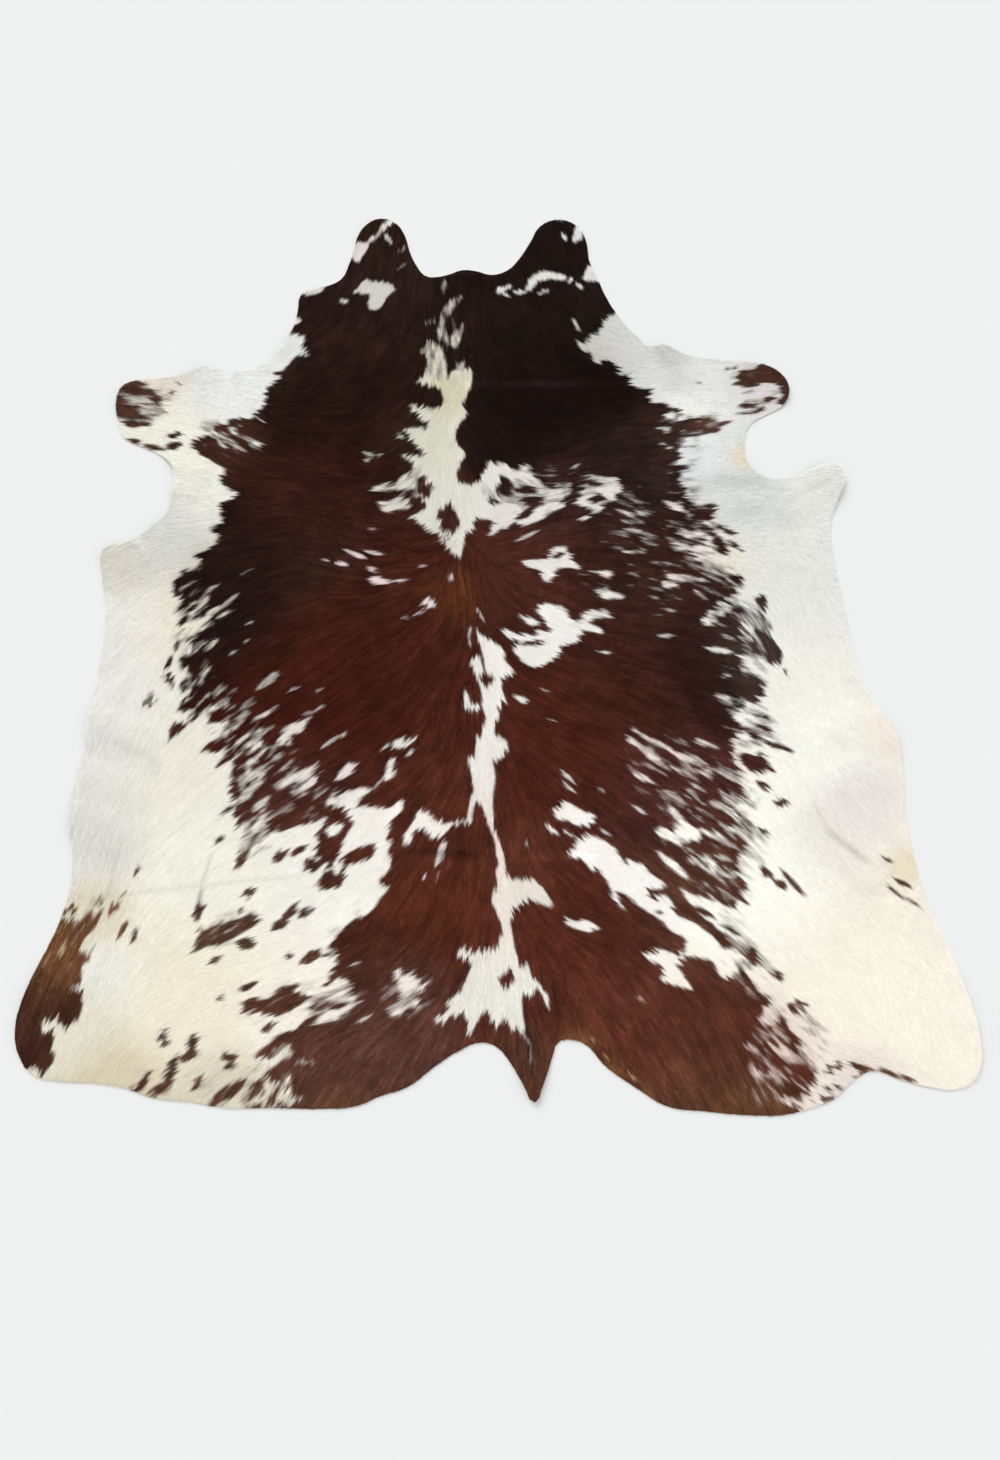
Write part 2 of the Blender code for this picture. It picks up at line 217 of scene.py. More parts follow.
# White marks in the saddle.
# Columns: name, edge, and the share of its hair that is white where that isn't all.
WHITE_MARKS = tuple(Patch(*row) for row in (
    ("blaze of the neck and shoulders", ((93.6, 183.6), (94.4, 185.6), (96.6, 186.4), (98, 184.6),
     (98.2, 180.5), (98.8, 177.4), (99.6, 179.8), (102.5, 180.3), (104.8, 180.5), (104.6, 177.5),
     (104, 175.3), (102.6, 172.3), (101.5, 170.8), (103, 167.6), (101.2, 165.7), (99.9, 163.7),
     (99.4, 159.6), (101.7, 157.3), (101, 155), (99, 151), (99.5, 149.3), (100.8, 148.3), (103, 148.3),
     (104.7, 149.2), (106.5, 152.7), (108, 154), (109.3, 153.2), (110.5, 153.5), (112, 152.8), (113, 151),
     (116.5, 150.5), (119.5, 147.7), (120.5, 146.3), (122, 145.8), (125.5, 147.5), (127, 145), (124.3, 142),
     (124, 140.3), (122, 139.8), (118.5, 137.3), (114.3, 136), (112.7, 137.3), (111.3, 136.8),
     (110.3, 135.5), (109, 136), (106.7, 134.3), (105, 134), (107.5, 137.2), (106, 138.5), (104, 138.8),
     (102.3, 138.3), (102, 135.7), (100.8, 135.3), (99.9, 134), (99.3, 129.7), (98, 128.8), (96.5, 131.3),
     (94, 133.7), (95.5, 134.7), (93, 135.2), (90, 138), (87.3, 140.5), (91, 142), (92, 143.5), (89.5, 146),
     (88.5, 148.7), (85, 147.7), (84.5, 149.3), (86, 152), (88.5, 152.5), (89.2, 154), (85.8, 157.6),
     (88.5, 157), (91.6, 156.2), (91, 158.5), (88.8, 161.5), (86.8, 164.8), (90, 164.6), (92.5, 163.8),
     (93, 165.5), (91.8, 167), (90, 169.3), (88.2, 171.2), (91, 170.9), (93.5, 169.6), (96.5, 169.7),
     (97.2, 172.3), (96.8, 175), (95.5, 176.3), (92.5, 176.9), (90.2, 177.6), (92.4, 179), (93.3, 181.3))),
    ("cheek of the blaze", ((92, 187.5), (94, 189.4), (97, 189), (98.6, 186), (97.4, 184.6), (94, 184.4),
     (92.6, 185.6)), 0.6),
    ("lower left arm of the blaze", ((80, 144.8), (84, 145.5), (86.5, 144.8), (88, 143), (86.5, 142.5),
     (84, 142.5), (83, 141.7), (81.5, 142.5))),
    ("ring right of the blaze", ((130, 148.3), (132, 148.7), (136, 147.5), (138, 147.3), (139, 145.8),
     (138.3, 144.5), (136.5, 141.7), (133.5, 140.5), (133.3, 138.5), (131.5, 138.3), (131, 139.7),
     (128, 140.5), (127.3, 142), (129, 143.5))),
    ("star of the right barrel", ((113.3, 127), (119.2, 126.9), (119.6, 128.8), (121.6, 130.2),
     (123.4, 130), (125.7, 127.3), (125.3, 126), (127, 123.8), (123.5, 124.7), (121.5, 124.3),
     (120.5, 122.8), (119.5, 121.3), (118, 121.2), (117.3, 122.3), (118, 124.3), (114, 125.5))),
    ("dash beside the star", ((127, 122.7), (128.7, 123.2), (132.5, 123.5), (134, 123.2), (134.5, 121.7),
     (133.5, 120.9), (130.5, 122.3))),
    ("dash below the star", ((129.7, 118.7), (132.7, 118.7), (133.5, 117.5), (137, 116), (133, 115.3),
     (131.5, 116.3))),
    ("island of the right barrel", ((137.5, 127.2), (140, 128.2), (144.5, 127.7), (142, 126.5))),
    ("upper flash", ((114.8, 115), (117.3, 111.8), (117.8, 109), (113.5, 108.3), (110.5, 108.7),
     (108.5, 110), (106.7, 110), (108.8, 107.5), (112, 106.5), (109, 105), (111, 101.8), (113, 100.5),
     (114.5, 100.3), (119.5, 102), (119.7, 103.5), (122.5, 105.5), (124.3, 105.5), (125.8, 108.5),
     (130.3, 107.3), (130.5, 108.3), (127.8, 110), (129, 111), (133.8, 111), (130.8, 114), (128, 113.5),
     (125, 111), (123.5, 111.5), (123, 113), (122, 115), (118, 116))),
    ("side of the upper flash", ((111.5, 113), (113.5, 113), (116, 111.3), (115.3, 110.3),
     (113.8, 110.5))),
    ("strip down the back", ((101.5, 111.3), (102.3, 109.3), (105.8, 106.7), (108, 104), (107.3, 102.5),
     (108.3, 101.3), (109.5, 99), (106, 98), (106.8, 97), (106.5, 95), (107, 93), (104.8, 91), (105.5, 89),
     (103.7, 85.3), (104.5, 84), (106.5, 83.8), (106.7, 82.5), (105.5, 79), (104, 78.5), (103, 79.3),
     (103.4, 75), (102.7, 70), (102.3, 63.5), (103.5, 61), (104.2, 57.5), (103.7, 55.5), (102.5, 57.5),
     (102.5, 60), (101, 65), (99.8, 70), (98.5, 69.3), (97.5, 64.6), (96, 65.5), (98.3, 67.5), (98.5, 72),
     (97.5, 80.3), (99, 79.5), (99.7, 83), (100, 85.7), (100.8, 83.8), (102.2, 88.5), (101.3, 92.5),
     (101.8, 94.5), (101.3, 97.5), (99.3, 102.5), (100, 103.3), (102.3, 103.5), (101.5, 107))),
    ("spur left of the strip", ((97.8, 95.8), (98.8, 95), (98.9, 92.3), (101, 92), (101, 90.7), (98, 90.6),
     (97.4, 92.5))),
    ("first dash by the strip", ((108.7, 93.3), (110.2, 94), (112, 92.3), (110.8, 91.5))),
    ("dash of the left barrel", ((77.2, 123.7), (78, 125.3), (80, 125.4), (82.5, 123.8), (81.3, 122.9),
     (79, 123.4))),
    ("spot of the left barrel", ((89, 118), (90.3, 119), (91.8, 118.2), (92.3, 116.3), (90.7, 117))),
    ("cleft of the left flank", ((62.8, 92), (60, 91), (57.5, 90.2), (56, 88.5), (55.5, 87), (57.5, 85),
     (58.5, 88), (61, 88.5))),
    ("first cleft of the loin", ((54.5, 76), (58.5, 78.5), (63, 80.8), (64.5, 81.2), (64.5, 80),
     (63, 78.3), (64, 77), (61, 74), (59, 75))),
    ("oval of the loin", ((67.8, 77), (69, 79), (71, 80.8), (72.8, 80), (72, 78), (69, 76.2))),
    ("bow of the loin", ((80.3, 84.2), (82, 85.2), (83.8, 85.5), (83.5, 84.3), (87.3, 86.3), (85.3, 83.8),
     (81.5, 83))),
    ("post of the loin", ((79, 76.5), (79.3, 78.5), (80, 80.7), (81, 80.9), (81, 79.3), (81.7, 78),
     (80.8, 76.3))),
    ("broad white of the loin", ((66, 72.5), (66.8, 73.8), (70.5, 73.6), (73, 74.8), (76.5, 73.8),
     (73.5, 72.3), (72, 70.5), (76, 70.3), (80, 69.7), (82.5, 71.8), (82.7, 69), (80.5, 67.2), (79.5, 66),
     (79.3, 64), (80, 62.3), (79.3, 60.5), (80, 58.5), (79.7, 57), (78, 54.5), (72, 54), (67.5, 55.5),
     (67, 58), (68.8, 61.5), (69.5, 63.3), (72, 67), (70.8, 68.5), (70, 70.2), (66.5, 71))),
    ("tongue left of it", ((65.5, 65.3), (66.5, 67), (68.5, 67.2), (69.8, 66.5), (68.5, 65), (67, 64))),
    ("second white of the loin", ((82.3, 63), (85, 66.8), (85.8, 68.5), (87.3, 69), (88.5, 68),
     (88.3, 66.5), (91, 66.5), (93, 64.8), (92, 63), (89.3, 62), (87.5, 62.3), (88.5, 63.5), (85, 64.3),
     (83, 61.5))),
    ("tail of the second white", ((89.2, 57.5), (89.8, 59.8), (90.8, 61.3), (92, 61), (90.8, 57.8),
     (90, 56))),
    ("patch of the left croup", ((79, 34.5), (80.2, 35.1), (83.4, 32.8), (86, 31.8), (85, 30.3),
     (86.7, 30), (83.4, 29.3), (85, 27), (81.3, 27), (80, 25.8), (76.7, 27), (80, 28.5), (80.3, 32))),
    ("white over the tail", ((92.8, 37.6), (93.8, 39.1), (96.3, 37.4), (100.3, 37.8), (101.5, 38.7),
     (102.5, 41.4), (102.2, 44), (100.5, 47.5), (101.7, 50.3), (102.3, 52.6), (102, 54.3), (103, 55.5),
     (102.3, 58), (104.2, 58), (104.2, 53.4), (106.9, 51.6), (110, 51.8), (111.5, 50.5), (113.7, 46.4),
     (113.2, 45.5), (110.9, 46.8), (109, 47.8), (105.5, 45.8), (104.6, 42.5), (105, 37), (105.7, 33.9),
     (106.5, 34.5), (108.8, 31), (111.3, 27.8), (111.6, 26), (111, 24.9), (109.8, 28.5), (108.8, 28.9),
     (107.7, 27.4), (105.8, 27.8), (105.9, 21.5), (105.7, 20.1), (101, 22), (98.4, 22.8), (99, 24.1),
     (97.5, 25.1), (95.5, 22.5), (94.6, 21), (93.6, 21.2), (94.2, 22.5), (93.2, 24.7), (91.3, 24.9),
     (89, 23.2), (86.7, 23.9), (90.5, 26), (89.6, 27.2), (93, 29.3), (94, 31.8), (95.8, 35.3),
     (94.2, 36.6))),
    ("hook of the right croup", ((115.3, 44.7), (116.5, 43.3), (117.8, 42.2), (121.3, 42), (123.7, 40.2),
     (120, 40), (116.5, 41.6))),
    ("dash of the right loin", ((116.8, 66.5), (118, 68), (119.5, 68.3), (122, 66.3), (125.5, 64.5),
     (121.5, 62.2), (118.5, 64), (115.5, 65.2))),
    ("lower flash", ((117.5, 56.4), (119.4, 57.7), (120.4, 59.4), (122.5, 60.8), (124.6, 60.2),
     (125.7, 59.2), (128.3, 57.6), (129.4, 55.5), (130.2, 53.4), (131.2, 54.7), (134.1, 53.4),
     (135.2, 51.3), (137.8, 49.7), (138.3, 48.6), (136.7, 47.8), (134.6, 48.1), (134.1, 46.8),
     (135.7, 45.7), (137.8, 46.5), (139.4, 44.9), (139.9, 42.3), (141.5, 41.3), (143.6, 40.2),
     (145.7, 38.1), (147.8, 36.5), (148.3, 34.6), (150.9, 34), (154.1, 32.3), (154.6, 30.2), (153.6, 29.2),
     (151.2, 29.7), (149.9, 28.6), (148.3, 28.1), (147.3, 29.2), (147, 31), (145.7, 32.3), (143.1, 33.1),
     (140.4, 33.4), (138.5, 31.8), (139.9, 29), (142.1, 26.7), (138.5, 27.5), (135.4, 28.5), (136, 31.5),
     (133, 33), (132.3, 34.3), (135.5, 35.2), (138.8, 33.9), (140.7, 34.7), (141.2, 36), (140.9, 37.6),
     (138.8, 38.6), (137.3, 39.9), (136.7, 41.3), (134.6, 42.8), (133, 43.9), (131.5, 44.9), (130.4, 46.5),
     (128.3, 47.8), (127.3, 48.1), (127.8, 46.5), (129.1, 43.4), (127.3, 45.5), (126.2, 48.6),
     (125.9, 50.7), (124.6, 52.8), (123.8, 53.4), (122.8, 52.3), (122, 53.9), (120.9, 55.5))),
    ("right croup's side", ((141.5, 47.6), (143.6, 46.5), (145.7, 46), (148.3, 44.9), (150.9, 43),
     (152.5, 43), (154.2, 44.2), (156, 45), (158, 40), (158, 34), (154.1, 34.4), (150.9, 36.5),
     (148.8, 37.6), (147.8, 39.7), (145.7, 40.7), (144.6, 42.3), (143, 44.4))),
    ("first white of the right thigh", ((133.3, 81.5), (134, 82.3), (138, 79.5), (140.3, 76.3),
     (138.5, 76.5), (135.5, 79.5))),
    ("second white of the right thigh", ((140.8, 65.8), (142.8, 64.8), (144, 62), (146, 60.6), (148, 59.6),
     (146, 57.8), (142.5, 57.2), (138, 59.5), (138.3, 61), (141, 60.4), (142.3, 61.4), (141.4, 63.5))),
    ("bar of the right flank", ((148, 121), (151, 121), (156.8, 119.3), (156, 118.5), (150.5, 119.5),
     (147, 117.3), (145.8, 119))),
    ("dash of the right shoulder", ((150.3, 132), (152, 132.5), (156, 132), (157, 131), (153, 130))),
    ("dab by the left jaw", ((71.8, 203.8), (73, 203.9), (74.3, 203.3), (74.3, 202.3), (73.3, 201.8))),
    ("arrow of the left cheek", ((75.3, 205.3), (76.7, 206.8), (77.8, 208.7), (79.3, 209), (80.5, 208.8),
     (82.5, 208.4), (84, 208), (87.1, 205.8), (84.3, 203.5), (82.5, 200), (81, 199.8), (79.5, 200.5),
     (79.3, 202), (80, 203.3), (79.8, 205), (78, 205))),
    ("spot of the left lobe", ((77, 220.7), (78.5, 221), (80.3, 220.7), (80, 219), (77, 214.3),
     (75.5, 216.3))),
    ("spot of the right lobe", ((135.2, 221.7), (136.2, 220.3), (136, 218), (134.7, 216.9), (133.3, 217.3),
     (134.5, 221.3))),
    ("speckles of the left hem", ((47.6, 9.6), (57.6, 9.2), (58.6, 10.5), (56.6, 12.7), (54, 14.8),
     (51, 15.6), (48.6, 14.8), (47.2, 12)), 0.9),
    ("grey of the left hem", ((54, 22), (57, 21.7), (58.5, 20), (57, 18.5), (54, 18.3), (53, 20)), 0.6),
    ("bay of the right flank", ((153.6, 128), (156.4, 127.6), (158.4, 125.6), (161, 124.8), (163.5, 125.8),
     (167.5, 126), (167, 119.4), (164, 120), (161, 119.7), (158.4, 120.6), (156.4, 122), (154.4, 124.6))),
    ("arc of the right cheek", ((120.5, 204.5), (121, 206.5), (124.3, 208.7), (128.3, 208), (131, 206.5),
     (130.3, 205.5), (126.5, 206.2), (123, 205.3), (121.5, 203), (120, 202.5))),
    ("corner of the left jaw", ((60.5, 207.5), (63.5, 205.3), (65, 205.5), (67, 205.7), (68, 206.3),
     (68.5, 209))),
    ("corner of the right jaw", ((137.2, 209.7), (140, 207), (140, 204), (134.8, 205), (136.3, 208.7))),
    ("dash of the right cheek", ((113, 204.3), (116.5, 205.1), (116.8, 204.2), (114, 203), (117, 200.7),
     (112.3, 203))),
    ("notch of the right flank", ((154, 109), (155.3, 110.7), (156.7, 109.5), (156, 107.7),
     (154.6, 107.4))),
    ("streaks inside the right elbow", ((150.5, 163.2), (153, 164.7), (155.3, 164), (153.5, 162.8))),
))

# Brown marks on the white, and those that stand in the white marks above, in the same columns.
BROWN_MARKS = tuple(Patch(*row) for row in (
    ("island in the broad white", ((68.2, 59), (71, 60.5), (75.5, 62.3), (76.3, 61), (76, 59.3),
     (69.5, 57.2))),
    ("splash in the blaze", ((90.3, 151.3), (92, 151), (91.7, 149.5), (94.2, 148), (92.8, 147.3),
     (92.3, 145.3), (90.5, 145.7), (89, 147.5))),
    ("island in the blaze", ((94.3, 142), (95.5, 142), (96.3, 143.3), (97.5, 143.3), (98.8, 139.8),
     (99.3, 138), (97.5, 135), (94.5, 136.5), (95, 138), (93.8, 139.5))),
    ("splash in the right arm", ((112.7, 137.7), (113.5, 139.3), (115, 140), (115, 142), (114, 143.2),
     (118.5, 143.7), (119.7, 142.5), (116.3, 138.5))),
    ("second splash in the right arm", ((108.7, 145), (108.8, 148), (111, 150), (113, 147.3), (112, 145.8),
     (111, 144.3))),
    ("third splash in the right arm", ((112.8, 146.3), (116.5, 147), (118.3, 145.7), (117.5, 144.7),
     (113.5, 145.3))),
    ("eye of the ring", ((130.3, 142), (132.5, 143.7), (133.7, 143), (134.3, 142), (133, 140.8),
     (131.5, 140.8))),
    ("island in the strip", ((102, 98.2), (102.8, 99.8), (104.8, 97.3), (102.5, 96))),
    ("second island in the strip", ((103.7, 85.3), (104, 86.5), (105.2, 87.2), (106, 84.5), (105, 83.8))),
    ("spot over the tail", ((100.7, 31.6), (103, 33.3), (104.2, 33), (104.4, 31.5), (102.8, 29.3),
     (101.7, 29.8))),
    ("dark of the right croup's side", ((147, 48.6), (149, 49.2), (152, 48), (155, 47.4), (154.1, 45),
     (152.5, 44.2), (150.9, 45.5), (149, 46.6))),
    ("hoof end of the left front leg", ((13, 173.2), (16.5, 172.8), (19, 170.6), (21.5, 169.6), (24, 171),
     (26.5, 172), (29, 173.6), (26.5, 176), (25.3, 179), (23.5, 181.7), (20.5, 183), (13, 184.5)), 0.8),
    ("first spot of the left thigh", ((60.2, 57), (62, 60.5), (63.5, 58.8), (65.3, 58.5), (63, 56.5))),
    ("second spot of the left thigh", ((63.3, 54), (65.5, 57), (66.8, 56.5), (67.2, 55), (68.3, 56.8),
     (70, 57.8), (69.3, 54.5), (68.5, 53), (65, 52.5))),
    ("third spot of the left thigh", ((59.5, 38), (62, 40.2), (64, 40.3), (64.2, 38.8), (60.5, 36.7))),
    ("crown of the left thigh", ((38.2, 46.8), (39.7, 46), (43.2, 47.8), (43.6, 46.6), (47.6, 48.2),
     (50, 49), (51, 48), (50.2, 46), (47.4, 44.6), (43.5, 43.2), (39.4, 42.4), (36, 40.9), (38.4, 43.6))),
    ("drop of the left flank", ((30.7, 88.5), (31.5, 90.5), (31.3, 91.5), (32.5, 93.5), (35, 91.5),
     (32.3, 89.8))),
    ("hook of the left flank", ((46.2, 61), (46.8, 62.8), (48, 62.5), (50.2, 65.7), (50.3, 64),
     (47.8, 59.3), (46.5, 59))),
    ("brown of the left hind leg", ((5, 52.5), (9, 50.5), (12, 49.8), (17.8, 51), (16, 48.5), (13.5, 45.5),
     (12.5, 43.5), (14, 43.5), (15.5, 41.2), (13.5, 40), (13.5, 36.5), (11, 36), (14, 34.8), (14.2, 32),
     (13.5, 30), (10.8, 27.8), (9, 30), (5.7, 29.6), (5.6, 28.4), (8.8, 26.8), (8.2, 24.5), (8.8, 22.5),
     (8.3, 20.5), (6.8, 19.3), (5.5, 20), (3.5, 20.2), (0, 20), (-3, 24), (-3, 34), (0, 45))),
    ("dashes of the left loin", ((45.5, 90.5), (49, 88.5), (52, 84), (53.5, 80), (54, 75), (53, 70),
     (51.5, 66.5), (50, 64), (47.5, 60), (46, 59), (46.3, 63), (47.6, 67), (45.6, 70.5), (44.6, 76),
     (45.6, 82), (43.6, 86)), 0.66),
    ("band of the left hem", ((46.6, 29.6), (48.5, 31), (53, 31), (55.5, 32.8), (58.6, 33.2), (60, 31.4),
     (62, 30.8), (59, 28.9), (54.5, 27.2), (51, 28.3), (48, 28.7))),
    ("hoof end of the right front leg", ((171.3, 175), (174.3, 174.7), (177.5, 176.3), (180, 179),
     (186, 174), (186, 166), (181, 162), (180, 165.5), (180.7, 167), (180, 171), (176, 170.8), (173, 170.3),
     (168.3, 171.3), (171, 172.3))),
    ("first outlier of the right flank", ((164, 112), (166.3, 110.3), (168, 110), (169.9, 106.5),
     (169.5, 104), (171.3, 100), (171, 97.5), (168.8, 97.3), (165, 100), (164.5, 103), (166.3, 106.5),
     (163.5, 107.5))),
    ("second outlier of the right flank", ((166.7, 113.5), (168, 114.3), (170, 113.8), (170, 112),
     (168.3, 110.3))),
    ("third outlier of the right flank", ((157.5, 76.5), (160, 72.3), (161.5, 71.8), (165.5, 72.3),
     (163.3, 75.3), (164, 77), (161.5, 76.3))),
    ("club of the right shoulder", ((158.5, 130.5), (160.3, 130), (162.3, 127.5), (161.8, 125.7),
     (160.5, 125.2))),
    ("faded spot of the right flank", ((161.5, 119.7), (164.8, 119.8), (164, 116.5), (162.3, 118.7))),
))

# Columns: x from, y from, x to, y to, width, and the share of its hair that is white where not 0.85.
WHITE_STREAKS = tuple(Streak(*row) for row in (
    (99.4, 207.3, 99.4, 203, 2.0, 0.45), (103.4, 202.2, 99.8, 199, 2.2, 0.55),
    (100.4, 199.4, 97.6, 195.6, 2.4, 0.55), (98.6, 196.4, 97.6, 191, 2.6, 0.6),
    (103.4, 193.4, 99.6, 187, 2.6, 0.65), (98, 192, 98.7, 187, 1.8, 0.8),
    (93.2, 195, 96.4, 195.1, 1.0, 0.5), (78.3, 148, 84, 149.3, 1.2), (81.5, 150, 84.5, 148, 0.8),
    (102.8, 183, 101.5, 180.5, 1.6, 0.5), (80.3, 221, 82.5, 222.5, 1.3), (82.5, 222.5, 83.3, 224, 1.4),
    (83.3, 224, 85, 226, 1.6), (85, 226, 87.3, 227, 1.2), (84.6, 223, 86.2, 220, 1.3, 0.7),
    (78.3, 224.5, 80, 226.7, 0.8, 0.6), (87.3, 216.6, 90, 219, 1.6, 0.35),
    (87.3, 211.3, 89.7, 213.8, 1.0, 0.6), (130.8, 220, 132, 217.7, 1.1), (130.8, 224.3, 131.5, 223, 0.9),
    (131, 204.5, 132.8, 206, 0.8), (133.2, 204.3, 134.7, 202.5, 1.2), (117, 202.7, 120, 202.7, 1.1),
    (123.3, 201.7, 126, 203, 1.1), (131.7, 193.7, 132.3, 190, 0.9), (44.5, 166, 47, 168, 1.2),
    (42.5, 167.5, 43.5, 165.5, 0.8), (43.5, 163.5, 48, 161, 1.0), (41, 164.5, 44, 162, 0.6),
    (50, 163.3, 52.3, 162.2, 0.9), (50.8, 170.8, 52, 169, 0.8), (35.3, 118, 39.5, 124.8, 2.0),
    (39.5, 124.8, 41.5, 126, 1.0), (38, 117.5, 43, 120.3, 1.4, 0.7), (42, 119.5, 46.5, 123.5, 1.2, 0.7),
    (41.5, 117.8, 45, 119, 1.0), (33, 125.5, 37, 127.3, 1.0), (33.5, 118.5, 36, 122.5, 0.8),
    (36, 128, 37.5, 130.5, 0.6), (47, 128, 49.3, 129.3, 0.5), (48.3, 115.3, 50, 116.3, 0.8),
    (38.7, 109.8, 40.3, 111.4, 2.4), (47, 110.5, 48.7, 111.7, 0.6), (44.3, 108.2, 45.8, 108.9, 0.5),
    (38, 103.8, 40, 105.3, 0.6), (37, 98, 38.2, 102, 0.9), (48.5, 80, 50.5, 91, 1.6),
    (85, 163.5, 86.8, 161.5, 0.8), (77, 158.7, 80.5, 157.3, 0.9), (77, 156.8, 79, 156, 0.6),
    (77, 138, 79.3, 137.7, 0.7), (72, 132.7, 76, 130.3, 1.1), (76.5, 132, 80, 131, 1.3),
    (65.5, 130.8, 67.5, 130.3, 0.6), (70, 129.4, 72, 128.7, 1.3), (77.3, 127.8, 78.8, 126.5, 1.6),
    (82.5, 123.8, 86, 123.9, 0.7), (89, 127.6, 91, 126.7, 0.5), (95.7, 125, 96.8, 123, 1.0),
    (87.2, 115, 90, 116.3, 0.9), (85, 115, 87.3, 114, 0.6), (100.2, 110.8, 99.5, 108.5, 0.7),
    (99.5, 108.5, 100, 106, 0.7), (101.8, 115, 103.5, 112.5, 0.7), (50.5, 92.3, 55.8, 95, 1.1, 0.7),
    (51.3, 99.8, 55.6, 102.9, 2.0, 0.7), (60, 92, 66, 94.2, 0.8, 0.6), (64.5, 84, 69, 87, 0.9, 0.6),
    (57.8, 98.4, 60.3, 99.2, 0.8, 0.6), (63.5, 97.6, 66.2, 98.8, 0.8, 0.5), (69.5, 86.5, 71, 88.2, 0.6),
    (78.5, 82.8, 80, 84.2, 0.9), (84.2, 81, 85.6, 82.8, 0.8), (76.3, 74, 79, 77, 0.6),
    (82.5, 60, 84.3, 63, 0.6), (92.5, 65.2, 96.8, 65.5, 0.9), (98.4, 71, 96.9, 65.3, 1.2),
    (86.2, 53.5, 87.2, 54.6, 0.5), (89.3, 52.8, 90, 55.5, 0.6), (89.5, 57, 91, 60, 0.6),
    (69.6, 36, 72.5, 37.1, 0.8), (70.7, 24.7, 74.4, 26, 0.8), (114.3, 151.7, 117, 152, 1.4),
    (126, 150.3, 129.3, 152, 0.8), (127.7, 136.3, 130.3, 137.5, 1.0), (136, 138.7, 140, 137.3, 1.2),
    (141.3, 139, 145.5, 136.3, 1.7), (136.3, 135.9, 139.3, 135.3, 0.8), (138, 134, 142, 133, 0.8),
    (112.3, 132.3, 117.3, 134.3, 1.1), (132.3, 130.3, 134.3, 130.6, 0.6), (138, 124.3, 141, 123.3, 0.6),
    (139, 122.5, 142, 121.8, 0.7), (147.5, 123.8, 149.7, 123.2, 0.6), (147.8, 128.8, 153.5, 127.5, 1.5),
    (142, 116, 144, 115.3, 0.8), (154.3, 102, 159.5, 100.5, 1.1), (158.5, 105.8, 160, 104.8, 0.7),
    (156.5, 95.3, 159, 94.3, 0.5), (155, 90.5, 158, 89.5, 0.7), (128.8, 103.2, 131.5, 102.5, 0.9),
    (143.3, 105.8, 147, 105.7, 0.9), (142.5, 111.2, 145.5, 110.7, 0.6), (145, 112.5, 147.5, 111.8, 0.7),
    (114.7, 95, 117, 94.3, 0.7), (115.7, 88, 118, 87, 0.6), (118.3, 75.3, 120.8, 72.8, 1.0),
    (118, 73, 120.5, 70.5, 0.7), (125.5, 71.3, 127.5, 70, 0.6), (113.8, 63, 116.3, 61.3, 0.9),
    (117.5, 61.5, 120, 60.3, 0.5), (108.7, 60, 110, 58.8, 0.5), (125.5, 61.8, 128, 60, 0.8),
    (134.8, 84.2, 140, 80.5, 1.0), (140, 80.5, 144, 77.5, 1.0), (144, 77.5, 152, 72.3, 1.0),
    (145, 77.5, 149.5, 75.5, 1.6), (142.5, 75, 148, 70, 1.5), (135, 73, 140, 70.5, 1.2),
    (145.3, 69.5, 149, 65.8, 1.1), (149, 73, 152, 71, 1.3), (132.8, 67, 136, 64, 0.7),
    (149, 80.2, 153, 78.6, 0.9), (148.3, 60, 155.6, 55, 1.8), (137.3, 56.6, 143, 50.2, 1.3),
    (144.5, 53.8, 153, 49.8, 2.0), (150, 55, 154, 52.3, 1.0), (150, 80, 154, 78, 0.8),
    (156.5, 135.3, 159.5, 131.5, 1.0), (148.5, 140.7, 155, 135.5, 1.4), (153.3, 116.3, 156.5, 113.7, 1.3),
    (149.5, 160.5, 153, 158.5, 0.9), (150.5, 155.8, 153, 153.5, 0.9), (151, 14.5, 153.5, 13.7, 1.0),
    (156, 14.5, 160, 12.5, 1.8), (152.3, 9, 155.5, 8.4, 1.0), (159.5, 7.3, 162, 5.4, 1.0),
    (157, 3.6, 161, 2.6, 1.2), (105.5, 20, 107, 17, 0.35), (107, 17, 106.3, 14, 0.35),
    (106.3, 14, 107.5, 12.8, 0.35), (118, 19, 120.3, 17.8, 0.7, 0.6), (120.3, 16.3, 124, 12.8, 0.5, 0.55),
    (124, 12.8, 129.2, 8, 0.5, 0.55), (129.2, 26.2, 131.5, 25, 0.5), (57.5, 17.8, 62.5, 17.3, 0.5),
    (52.8, 12.2, 54.5, 13.5, 1.4), (56, 14, 58, 14.6, 0.8), (58.5, 10.6, 60, 11, 0.5),
    (30.5, 29.3, 33, 31, 0.6),
))

